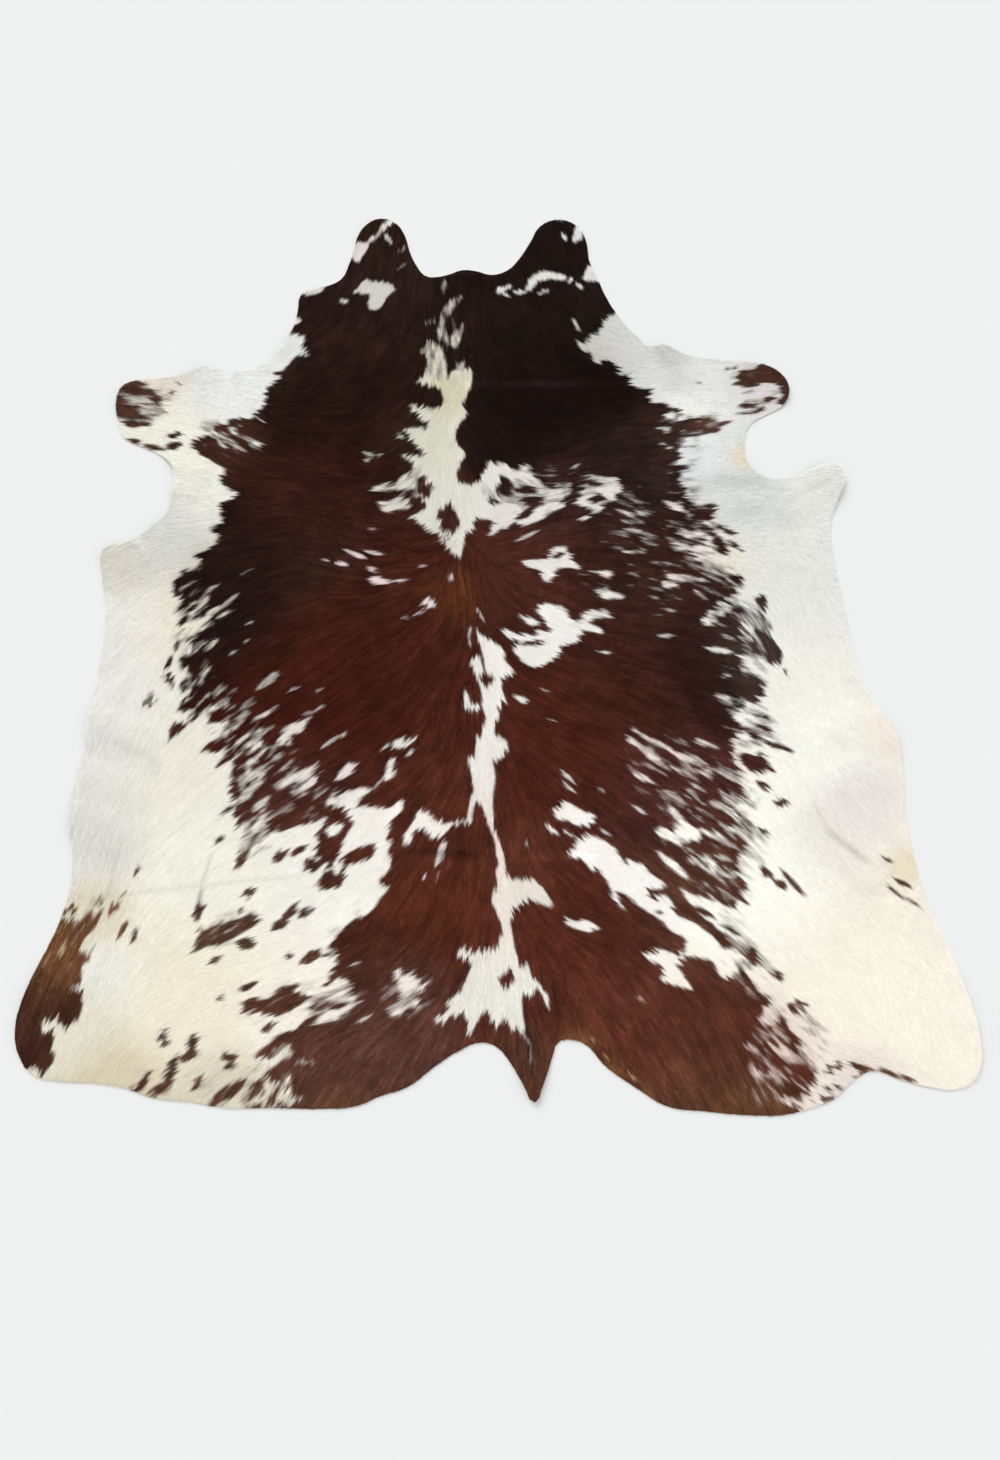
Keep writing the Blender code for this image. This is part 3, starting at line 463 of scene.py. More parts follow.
# Columns as above, with the share that is brown. White streaks are drawn over these.
BROWN_STREAKS = tuple(Streak(*row) for row in (
    (101.8, 106.5, 102.6, 100, 0.9), (101.4, 99, 104.6, 98.4, 1.6), (60, 193.3, 60.8, 195.6, 1.2),
    (94.8, 134.7, 96.5, 133.3, 0.8), (89, 142.3, 90, 142.3, 2.2), (106, 143.8, 109, 142.6, 0.8),
    (130, 147, 133.5, 145.8, 1.2), (120.7, 127.5, 122.4, 128.2, 1.6), (111.5, 105.6, 117, 106.3, 1.0),
    (101.2, 22.8, 102.8, 21.8, 0.8), (26.1, 97.2, 26.3, 99, 2.8), (26.4, 100.2, 26.9, 100.5, 1.2),
    (31.9, 109.8, 32.7, 112.8, 1.3), (30.1, 105.5, 31.2, 109, 1.2), (29, 103.8, 31.5, 103, 1.2),
    (31, 103, 31.3, 100.5, 0.9), (34, 92, 38, 94.5, 0.8), (35, 94, 40, 96.5, 0.8), (41.8, 82, 47, 86, 1.5),
    (38.6, 85.6, 44, 88.4, 1.9), (46.5, 78.5, 48, 80.5, 1.4), (42.8, 71, 45.2, 72.2, 0.8),
    (41.6, 64.6, 43.3, 65.9, 1.1), (24.3, 59, 25.3, 61, 0.9), (16.6, 53.7, 17.8, 53.9, 1.9),
    (21.2, 54.6, 22.2, 54.4, 1.1), (5, 51, 12, 52.5, 1.5), (13, 50, 18, 51.5, 1.4),
    (19.2, 52, 20.4, 52.4, 2.2), (21.3, 46.4, 23, 49.4, 1.2), (24.2, 44.5, 24.7, 47.5, 1.2),
    (38.6, 52, 37.8, 48, 1.9), (46.6, 49.4, 48.2, 49.6, 1.2), (46.4, 42.6, 50, 42.3, 2.2),
    (40.3, 39, 42.6, 39.9, 1.6), (47.6, 52.8, 49.6, 53.4, 2.3), (43, 31.8, 43.6, 31.8, 1.9),
    (47, 32.8, 49.8, 33.9, 1.4), (30.7, 26, 32.2, 23, 1.7), (36.5, 20.2, 37.4, 24.8, 2.4),
    (34, 20.2, 38.5, 20.8, 1.3), (32, 14.2, 33.5, 20.2, 2.3), (28.5, 13.4, 32.2, 15, 2.0),
    (26.4, 14.2, 28.4, 18, 1.4), (24.3, 15.2, 27, 14.4, 1.0), (38, 14.2, 39.3, 16.6, 1.3),
    (44, 20.6, 45.4, 17.6, 2.0), (41, 10.6, 47.4, 14.6, 2.4), (52, 24, 54.2, 26.2, 1.4),
    (53, 21.6, 56.6, 23.6, 1.6), (50, 19.6, 53.3, 20.4, 1.5), (49.3, 14.2, 52.8, 12.6, 1.8),
    (48.5, 11.4, 50.6, 12.5, 1.2), (52.4, 11.4, 55.2, 10.2, 1.4), (53.4, 13.6, 55.4, 12.2, 1.3),
    (49.6, 10.1, 52.4, 10.3, 0.9), (54, 60.2, 57.2, 61.6, 1.9), (58.3, 60.8, 60.8, 62, 1.6),
    (46, 70.5, 51, 71.8, 1.5), (46.5, 68, 49, 74.5, 1.8), (47, 64.8, 49.3, 66.3, 1.0),
    (50.3, 78.2, 50.8, 78.5, 1.2), (50.8, 63.6, 51.3, 63.9, 1.2), (54, 45, 57, 47, 1.8),
    (57, 47.5, 59.2, 50, 1.6), (59.7, 47.8, 62.3, 48.6, 1.6), (56.2, 38.8, 57.6, 39.2, 1.4),
    (64, 38.3, 67, 38.9, 1.1), (62, 28.2, 66.3, 29.4, 2.2), (66, 27.8, 69, 29, 0.9),
    (59, 24.5, 64, 27, 1.0), (52, 83, 55, 89, 1.6), (25.3, 178.8, 26.5, 175.3, 1.7),
    (20.3, 181.8, 23.5, 180.8, 0.9), (18.3, 171.7, 21, 172, 0.8), (19.5, 170, 24, 170.3, 1.6),
    (28.7, 166.3, 32.3, 167, 1.5), (29, 163.3, 33, 164.2, 1.9), (19.2, 166.2, 22.4, 164.9, 1.6),
    (23, 164.3, 28, 162.9, 1.7), (31, 181.5, 31.7, 180.5, 0.6), (29, 179.8, 31, 178, 0.6),
    (160, 133, 164, 130.5, 1.8), (162.5, 129.3, 165.3, 126, 1.0), (162, 86.8, 165, 84.8, 1.3),
    (160.5, 84.5, 165.3, 81.8, 1.4), (161, 81, 163, 80, 1.0), (163, 80, 170.5, 76, 1.0),
    (171.2, 95, 171.8, 95.4, 1.2), (161.3, 69.8, 163.8, 68, 1.6), (164.9, 64.7, 167.7, 64.7, 1.8),
    (160.6, 59.6, 161.8, 57.8, 1.5), (159.6, 50.4, 161, 48.8, 2.0), (162, 48.2, 163.8, 46.6, 1.7),
    (163.6, 50, 168, 44.4, 1.4), (158.2, 28.3, 160.4, 28.3, 1.8), (161.4, 20.8, 164.6, 22.2, 2.2),
    (166.3, 8, 170, 10, 1.4), (166, 5, 167.6, 5, 1.1), (168.4, 5, 169.5, 5, 1.0),
    (165, 2.3, 167.5, 3.8, 1.2), (163, 2.8, 163.6, 2.9, 1.0), (172, 9.5, 176, 8.2, 1.2),
    (172, 6.8, 175, 7.8, 0.8), (177, 8, 181, 6.4, 1.5), (181, 6.6, 185, 5.2, 1.1),
    (186.2, 51.4, 188, 50.2, 0.8), (188, 46.5, 190.5, 44.8, 1.0), (186, 45.3, 188.8, 42.3, 1.0),
    (189, 42.8, 192.5, 40, 0.9), (170.3, 165.5, 174.5, 164.7, 1.3), (175, 165.5, 180, 167.8, 0.9),
    (173.5, 163, 177, 164.5, 0.8), (169.5, 163, 174, 162.8, 0.9), (168, 176, 168.6, 176, 1.0),
    (169.8, 176, 171.3, 176.4, 0.8), (160.7, 172.3, 162.3, 172.4, 0.8), (140.5, 195.5, 142.5, 199.8, 1.0),
    (152, 46.5, 155.5, 43.5, 1.6), (147, 54.5, 151, 51, 1.4), (143, 55.5, 146.5, 52.5, 1.2),
    (134.6, 47.9, 136.2, 46.8, 1.4), (137.3, 47.6, 139.4, 46.3, 1.2), (135.6, 43.5, 136.8, 42.6, 1.1),
    (144.6, 40.4, 153, 35, 1.0), (148.3, 39.9, 152.5, 37.2, 0.9), (144.3, 43.3, 148.5, 40.8, 1.0),
))

# Columns: name, x, y, half length, half width, turn in degrees, brown share, strength.
ROANS = tuple(Roan(*row) for row in (
    ("left loin", 49, 89, 20, 8, -50, 0.66, 0.85), ("left loin's foot", 58, 76, 15, 8, -20, 0.63, 0.85),
    ("left flank's rim", 37, 112, 21, 6, 95, 0.64, 0.75),
    ("left flank's foot", 41, 97, 10, 5, -40, 0.66, 0.75), ("left elbow", 44, 164.5, 10, 6, -20, 0.68, 0.9),
    ("left thigh's rim", 52, 71, 14, 5, 80, 0.5, 0.8), ("left croup's rim", 70, 44, 12, 4, 45, 0.6, 0.5),
    ("right arm of the blaze", 120, 146, 17, 8, 5, 0.72, 0.7),
    ("left arm of the blaze", 86, 149, 8, 6, 40, 0.66, 0.6),
    ("right ribs", 143, 129, 22, 11, -80, 0.85, 0.85), ("right barrel", 130, 118, 12, 12, 0, 0.92, 0.5),
    ("right flank's rim", 156, 128, 26, 7, -78, 0.7, 0.8), ("right flank", 161, 101, 16, 7, -88, 0.78, 0.8),
    ("right flank's foot", 160, 84, 11, 7, -45, 0.58, 0.8),
    ("right thigh, upper", 146, 71, 19, 11, -38, 0.68, 0.9),
    ("right thigh, lower", 147, 53, 14, 8, -40, 0.5, 0.7),
    ("right thigh's rim", 156, 64, 16, 6, -80, 0.5, 0.8),
    ("right croup's side", 150, 41, 9, 5, -50, 0.35, 0.4),
    ("right croup's rim", 154, 30, 10, 5, -60, 0.5, 0.8), ("right buttock", 158, 12, 13, 9, 40, 0.58, 0.95),
    ("left hem", 53, 14, 7, 6, 20, 0.5, 0.5), ("left hem's foot", 38, 15, 14, 6, 10, 0.2, 0.3),
    ("fringe of the left buttock", 56, 30, 12, 5, 15, 0.5, 0.35),
    ("left hind leg", 11, 44, 9, 6, 60, 0.7, 0.85), ("left hock", 17, 52, 7, 4, 20, 0.25, 0.6),
    ("right elbow", 154, 154, 6, 9, 0, 0.62, 0.75), ("right front leg", 158, 161, 10, 4, 0, 0.68, 0.8),
    ("hoof end of the left leg", 23, 176, 8, 7, 0, 0.66, 0.7),
    ("hoof end of the right leg", 175, 170, 9, 7, 0, 0.62, 0.5),
    ("bar of the left thigh", 44.5, 46, 8, 4, 20, 0.5, 0.55),
    ("spur of the right flank", 166.5, 105, 10, 4, -72, 0.6, 0.85),
    ("top of the blaze", 98, 189, 17, 7, 90, 0.78, 0.6), ("croup's white", 82, 30, 8, 6, 20, 0.5, 0.7),
    ("fringe of the left croup", 68, 29, 9, 5, 20, 0.7, 0.7),
))

# Partly the hair's own browns and partly the dark coat's sheen, painted in.
# Columns: place, x, y, reach, colour.
BROWN_TINTS = tuple(Tint(*row) for row in (
    ("left lobe", 84, 221, 9, "#28170f"), ("right lobe", 131, 216, 11, "#190d0b"),
    ("left cheek", 75, 200, 14, "#2c1a15"), ("right cheek", 118, 198, 16, "#1e100c"),
    ("right jaw", 138, 198, 6, "#281a14"), ("right shoulder", 125, 176, 22, "#190c0a"),
    ("right shoulder's foot", 138, 152, 10, "#30201c"), ("inside the right elbow", 152, 158, 8, "#38241e"),
    ("spur of the right elbow", 163, 161, 5, "#5a3c33"), ("left shoulder", 76, 178, 20, "#28160f"),
    ("left shoulder's edge", 54, 186, 6, "#36241d"), ("beside the blaze", 90, 162, 7, "#35201a"),
    ("left elbow", 45, 164, 6, "#42261c"), ("left withers", 72, 143, 15, "#391c15"),
    ("splashes of the blaze", 95, 145, 6, "#40241b"), ("olive of the left barrel", 66, 131, 8, "#33221a"),
    ("left flank", 45, 128, 14, "#25140f"), ("left barrel", 84, 112, 18, "#451f15"),
    ("back", 97, 120, 5, "#62351a"), ("right withers", 124, 142, 9, "#3c2420"),
    ("right barrel", 115, 122, 12, "#4a271e"), ("right ribs", 142, 118, 13, "#3a221c"),
    ("right loin's side", 134, 96, 11, "#46241b"), ("right side", 151, 98, 9, "#2f1c17"),
    ("left loin", 68, 94, 14, "#41190f"), ("right loin", 115, 83, 15, "#4b2217"),
    ("left thigh", 62, 74, 10, "#4d2a22"), ("left croup", 84, 66, 13, "#52291c"),
    ("right thigh", 142, 68, 12, "#4c2a24"), ("right croup's side", 145, 47, 11, "#553528"),
    ("dark bar of the left croup", 75, 41, 6, "#452217"), ("right croup", 114, 40, 15, "#54291d"),
    ("right of the strip", 110, 57, 6, "#5e3225"), ("red of the left croup", 87, 50, 8, "#5a2c1c"),
    ("left buttock", 78, 28, 9, "#55342b"), ("left hem", 76, 15, 9, "#5c3a30"),
    ("left hem's gold", 68, 7, 4, "#6a4830"), ("tail", 106, 15, 5, "#57372a"),
    ("rim right of the tail", 116.5, 17.5, 2.5, "#8a6238"),
    ("right buttock's rim", 122, 11, 2.5, "#855c36"),
    ("right buttock's lower rim", 128.5, 5.5, 2.5, "#805834"), ("right hem", 126, 18, 14, "#562e22"),
    ("right hem's rim", 138, 5, 7, "#603c2c"), ("right hem's gold", 148, 1, 4, "#6b482f"),
    ("marks of the left thigh", 48, 50, 11, "#553a2e"), ("band of the left hem", 54, 30, 5, "#583629"),
    ("left hind leg", 8, 27, 7, "#44281f"), ("top of the left hind leg", 11, 44, 7, "#6c472e"),
    ("left hoof end", 20, 178, 7, "#4c3226"), ("right hoof end", 181, 170, 7, "#4d3226"),
    ("speckles of the right flank", 165, 100, 7, "#453530"), ("faded spot", 26, 98, 3, "#7c7268"),
))

# The hair's own whites, with the folds' shade painted into the greyer ones noted below.
# Columns: place, x, y, reach, colour.
WHITE_TINTS = tuple(Tint(*row) for row in (
    ("left lobe", 83, 222, 6, "#e6ded8"), ("left cheek", 78, 205, 7, "#dcd9d2"),
    ("right cheek", 122, 206, 12, "#e6e3e0"), ("right jaw", 139, 197, 6, "#dcdbd8"),
    # painted shade of the right shoulder's folds
    ("right shoulder's edge", 136, 181, 6, "#d2cfcb"), ("right shoulder", 150, 184, 9, "#dededd"),
    ("right front leg", 160, 172, 9, "#e8e8e6"), ("right front leg's end", 176, 171, 6, "#e2dfdc"),
    ("right front leg's foot", 158, 163, 6, "#f6f5f1"), ("left shoulder", 46, 180, 10, "#efefed"),
    ("left shoulder's rim", 31, 186, 5, "#dad5cd"), ("left hoof end", 26, 174, 7, "#f1efe4"),
    ("pink of the left hoof end", 28.5, 180, 4, "#e6d8cc"),
    ("left front leg's foot", 38, 163, 7, "#f2f0e5"), ("left elbow", 38, 151, 6, "#eeede5"),
    # painted shade of the left armpit's and left flank's folds
    ("left armpit", 27, 143, 7, "#e0dfdb"), ("left flank's top", 18, 134, 6, "#e2ded4"),
    ("left flank", 18, 110, 11, "#efece7"), ("left flank's inner side", 33, 114, 7, "#efebdc"),
    ("left flank's flecks", 42, 126, 6, "#dcd5cb"), ("left flank's edge", 15, 88, 9, "#ebe8e3"),
    ("left loin's white", 36, 85, 11, "#eeebe1"), ("roan of the left loin", 60, 84, 8, "#e9e1dc"),
    # painted shade of the left thigh's crease
    ("crease of the left thigh", 16, 67, 7, "#e5e2dc"), ("left thigh", 44, 60, 13, "#f3f1e6"),
    ("left thigh's inner side", 67, 56, 11, "#f2efe9"), ("left hock", 16, 52, 5, "#e4ddc9"),
    ("left hind leg", 35, 34, 11, "#f1ebda"), ("white of the left hind leg", 20, 38, 6, "#eeede6"),
    ("left hind leg's foot", 14, 29, 7, "#e8e4d5"), ("left hind leg's rim", 22, 17, 7, "#ddd2b8"),
    ("gold of the left hind leg", 8, 44.5, 3.5, "#e0cda8"), ("left buttock", 60, 32, 9, "#f6f0e6"),
    ("left hem", 43, 13, 6, "#dfd8c5"), ("left croup's patch", 80, 30, 6, "#f3ebe4"),
    ("left croup", 72, 45, 6, "#fdfaf1"), ("dashes of the left barrel", 76, 130, 9, "#f0dfe1"),
    ("blaze's top", 98.5, 186, 5, "#dcd6c8"), ("strands over the blaze", 100, 198, 7, "#cdc4bb"),
    ("blaze's middle", 98.5, 173, 4, "#d3cdb0"), ("blaze", 97, 161, 10, "#e1dfd0"),
    ("blaze's foot", 95, 146, 8, "#e1dfd6"), ("arm of the left croup", 87, 66, 5, "#f7f1ec"),
    ("right arm of the blaze", 120, 147, 10, "#e9e4e1"), ("right armpit", 161, 153, 7, "#e5e6e6"),
    ("right flank's edge", 161.5, 123, 4, "#e9e6da"),
    # the right elbow's grey is painted shade of its trough
    ("yellow of the right elbow", 168.2, 150.5, 2.8, "#e8dab8"), ("right elbow", 168, 141, 7, "#dedfdd"),
    ("right flank's tip", 187, 141, 7, "#ebeae6"), ("right flank", 178, 116, 12, "#e9e8e4"),
    ("flecks of the right ribs", 147, 126, 9, "#f0e7e2"), ("upper flash", 119, 107, 9, "#f2efeb"),
    ("back", 104, 90, 12, "#eae6e1"), ("right flank's foot", 177, 92, 9, "#f1efe8"),
    ("roan of the right thigh", 145, 74, 8, "#ebe0da"), ("white of the right thigh", 143, 60, 6, "#fffaf2"),
    ("right thigh's top", 171, 78, 8, "#f6f5ee"), ("peach of the right flank", 191, 82, 4, "#f2eae2"),
    ("lilac of the right thigh", 181, 64, 5, "#e7e2e0"),
    ("tan of the right thigh", 190.5, 49, 2.8, "#e9dcc3"), ("right thigh", 160, 52, 11, "#f9f8f0"),
    ("lower flash", 128, 55, 9, "#f5f1ed"), ("croup", 99, 52, 10, "#ecdfd7"),
    ("arm of the croup", 106, 48, 5, "#e2dfd5"), ("gold rim right of the tail", 123, 13, 4, "#dcbf92"),
    ("white over the tail", 99, 29, 8, "#e8e5dd"), ("right hind leg", 184, 28, 18, "#f4eee3"),
    ("right thigh's side", 175, 57, 8, "#e9e5de"), ("right heel", 174, 6, 5, "#e4d9d3"),
    ("right hem", 154, 13, 7, "#e3d0c9"),
))

# Columns: x, y, angle.
LIES = tuple(Lie(*row) for row in (
    (82, 220, 262), (132, 218, 278), (75, 200, 242), (100, 203, 270), (125, 200, 292), (62, 190, 225),
    (140, 190, 315), (100, 180, 270), (100, 150, 270), (100, 120, 270), (100, 90, 270), (103, 60, 270),
    (104, 30, 270), (107, 14, 270), (88, 160, 215), (112, 160, 325), (82, 175, 222), (118, 175, 318),
    (70, 160, 160), (45, 164, 148), (30, 175, 165), (20, 178, 172), (48, 180, 170), (132, 160, 18),
    (155, 160, 5), (170, 168, 8), (180, 170, 352), (152, 180, 355), (70, 143, 160), (72, 130, 158),
    (85, 128, 185), (50, 140, 182), (32, 145, 180), (20, 132, 215), (38, 122, 212), (55, 120, 200),
    (84, 115, 208), (30, 105, 235), (20, 90, 245), (55, 98, 212), (75, 96, 210), (90, 100, 232),
    (65, 85, 213), (82, 82, 226), (48, 80, 215), (60, 70, 210), (75, 68, 215), (88, 62, 235), (40, 60, 222),
    (12, 60, 255), (15, 45, 245), (8, 30, 250), (30, 25, 215), (48, 44, 205), (45, 30, 200), (65, 28, 200),
    (80, 30, 210), (90, 45, 235), (60, 14, 235), (85, 16, 240), (115, 132, 20), (128, 137, 15),
    (138, 136, 335), (150, 130, 345), (165, 140, 5), (185, 144, 350), (120, 125, 340), (112, 118, 318),
    (130, 120, 342), (142, 120, 344), (156, 118, 330), (120, 107, 335), (145, 108, 350), (158, 102, 342),
    (168, 105, 290), (182, 120, 300), (180, 95, 300), (115, 90, 328), (135, 83, 325), (125, 83, 331),
    (155, 85, 335), (120, 73, 315), (145, 70, 322), (150, 50, 318), (128, 55, 318), (112, 48, 300),
    (118, 42, 330), (138, 36, 320), (130, 22, 300), (145, 10, 290), (160, 15, 310), (165, 50, 305),
    (180, 60, 300), (190, 45, 318), (185, 20, 290), (175, 6, 335), (96, 20, 250), (112, 22, 290),
))

# Mostly shade painted along folds, creases and grooves, below one, with a few lighter lines. Columns: x from,
# y from, x to, y to, half width, light.
PAINTED_SHADES = tuple(PaintedShade(*row) for row in (
    (38.3, 50.5, 39.2, 56, 0.4, 0.5), (39.2, 56, 41.2, 63, 0.35, 0.75), (8, 55, 66, 56.6, 0.5, 0.9),
    (18, 53, 21, 66, 0.4, 0.9), (13, 93, 31, 83, 1.0, 0.94), (173.6, 59.6, 183, 50, 0.8, 0.78),
    (174.7, 58.7, 172.5, 66, 0.5, 0.9), (102, 177.2, 144, 173.4, 0.9, 2.3), (160, 146, 177, 141, 1.0, 0.92),
    (177, 138, 191, 144, 0.7, 0.93), (64, 117, 52, 102, 1.6, 0.68), (80, 61, 101, 58.3, 0.8, 0.55),
    (104, 57.4, 124, 56, 1.0, 1.3), (106.2, 29, 107, 8, 0.4, 0.6), (112.4, 32, 112.6, 19, 0.4, 0.6),
    (97.5, 131, 100.5, 113, 0.4, 1.45), (172, 122, 188, 118, 0.8, 0.95), (150, 185, 153, 177, 0.9, 0.93),
    (46, 186, 48, 176, 0.8, 0.95), (30, 150, 40, 148, 0.6, 0.94), (31, 136, 42, 134, 1.6, 0.96),
    (151.5, 184.4, 159, 178.8, 1.3, 0.86), (151.5, 183, 156, 174.5, 1.8, 0.91),
    (157, 181, 171, 178, 1.0, 0.93),
))

# Columns: x from, y from, x to, y to, half width, height in millimetres.
CREASES = tuple(Crease(*row) for row in (
    (30, 143, 43, 144, 2.6, -1.4), (31, 154.5, 40, 158, 1.6, 1.0), (31, 153, 39, 151.5, 1.6, 1.0),
    (31, 151, 38, 147, 1.6, 0.8), (30.5, 155.5, 35, 160.5, 1.6, 0.8), (40, 182, 52, 179.5, 2.2, 1.2),
    (43, 186, 45, 178, 2.0, -1.0), (50, 186, 51, 180, 2.0, 1.2), (149, 185, 152, 177, 2.4, -1.2),
    (112, 176, 158, 176.5, 1.6, -0.9), (161, 142.5, 176, 141.5, 2.4, -1.3), (168, 150, 161, 155, 2.0, 1.0),
    (180, 138, 190, 142.5, 1.6, -1.2), (172, 60, 186, 48, 2.2, -1.2), (170, 57, 182, 45.5, 2.0, 0.9),
    (112, 25.5, 113.3, 19.5, 1.2, -1.2), (113.8, 25, 115, 19, 1.2, 1.0), (38.9, 52, 40.6, 58.5, 0.8, -0.8),
    (15, 86, 25, 97, 3.0, -1.2), (12, 62, 20, 75, 3.0, -1.2), (172, 131, 188, 129, 2.0, -1.0),
    (174, 118, 187, 116, 2.4, 0.9), (20, 118, 32, 116, 2.4, -0.8), (62, 197, 75, 199, 2.0, 0.8),
    (176, 84, 190, 78, 2.0, -1.0), (196, 24, 184, 30, 2.6, 1.0), (4, 38, 14, 33, 2.2, -1.0),
))


def linear(colour: str) -> tuple[float, float, float, float]:
    """Turns an sRGB colour, as #rrggbb, to linear red, green and blue, with an alpha of one."""
    parts = (int(colour[i : i + 2], 16) / 255 for i in (1, 3, 5))
    return (*(c / 12.92 if c <= 0.04045 else ((c + 0.055) / 1.055) ** 2.4 for c in parts), 1.0)


def add_node(tree: bpy.types.NodeTree, kind: str, settings: dict | None = None, **inputs) -> bpy.types.Node:
    """Adds a node, sets its properties and fills its inputs.

    Args:
        tree: The tree that gets the node.
        kind: The node's type name.
        settings: Its properties by name.
        **inputs: Its inputs, each a value or a socket to link. They go by name, with underscores for
            spaces, or by number, as in_0.

    Returns:
        The new node.
    """
    node = tree.nodes.new(kind)
    for name, value in (settings or {}).items():
        setattr(node, name, value)
    for name, value in inputs.items():
        if name[:3] == "in_" and name[3:].isdigit():
            socket = node.inputs[int(name[3:])]
        else:
            socket = next(s for s in node.inputs if s.name == name.replace("_", " ") and s.enabled)
        if isinstance(value, bpy.types.NodeSocket):
            tree.links.new(value, socket)
        else:
            socket.default_value = value
    return node


def add_object(name: str, data: bpy.types.ID) -> bpy.types.Object:
    """Makes an object and puts it in the scene.

    Args:
        name: Its name.
        data: Its mesh, lamp or camera.

    Returns:
        The object.
    """
    made = bpy.data.objects.new(name, data)
    bpy.context.scene.collection.objects.link(made)
    return made


def point_places(mesh: bpy.types.Mesh) -> np.ndarray:
    """Reads the places of a mesh's points.

    Args:
        mesh: The mesh.

    Returns:
        Its points as rows of x, y and z, in metres.
    """
    places = np.empty(len(mesh.vertices) * 3, np.float32)
    mesh.vertices.foreach_get("co", places)
    return places.reshape(-1, 3)


def lay_out(mesh: bpy.types.Mesh, flat: np.ndarray, shift: np.ndarray | float = 0.0) -> None:
    """Gives a mesh the flat map that its looks are baked on.

    Args:
        mesh: The mesh.
        flat: The place of each point on the map.
        shift: What is added to them, the same everywhere or for each corner of the faces.
    """
    corners = np.empty(len(mesh.loops), np.int32)
    mesh.loops.foreach_get("vertex_index", corners)
    layout = mesh.uv_layers.new(name=BAKE_MAP)
    layout.uv.foreach_set("vector", (flat[corners] + shift).astype(np.float32).ravel())


def add_values(mesh: bpy.types.Mesh, name: str, kind: str, key: str, values: np.ndarray) -> None:
    """Gives a mesh's points an attribute of a kind, whose values have this key in it."""
    mesh.attributes.new(name, kind, "POINT").data.foreach_set(key, values.astype(np.float32).ravel())


def to_row(places: np.ndarray) -> np.ndarray:
    """Turns places in the hide's centimetres to metres in the row's frame."""
    return (places - MIDDLE) * CM


def to_hide(places: np.ndarray) -> np.ndarray:
    """Turns places in metres in the row's frame to the hide's centimetres."""
    return places / CM + MIDDLE


def left_of(ways: np.ndarray) -> np.ndarray:
    """Returns flat directions, a quarter turn to the left."""
    return np.column_stack([-ways[:, 1], ways[:, 0]])


def soften(values: np.ndarray, times: int) -> np.ndarray:
    """Averages each cell of a chart with its neighbours.

    Args:
        values: The chart.
        times: How often it is done.

    Returns:
        A softer chart.
    """
    for _ in range(times):
        for axis in (0, 1):
            values = (np.roll(values, 1, axis) + 2 * values + np.roll(values, -1, axis)) / 4
    return values


def evened(values: np.ndarray, steepness: float = 1.7) -> np.ndarray:
    """Spreads bell-shaped noise evenly from 0 to 1."""
    return 1 / (1 + np.exp(-steepness * (values - values.mean()) / values.std()))


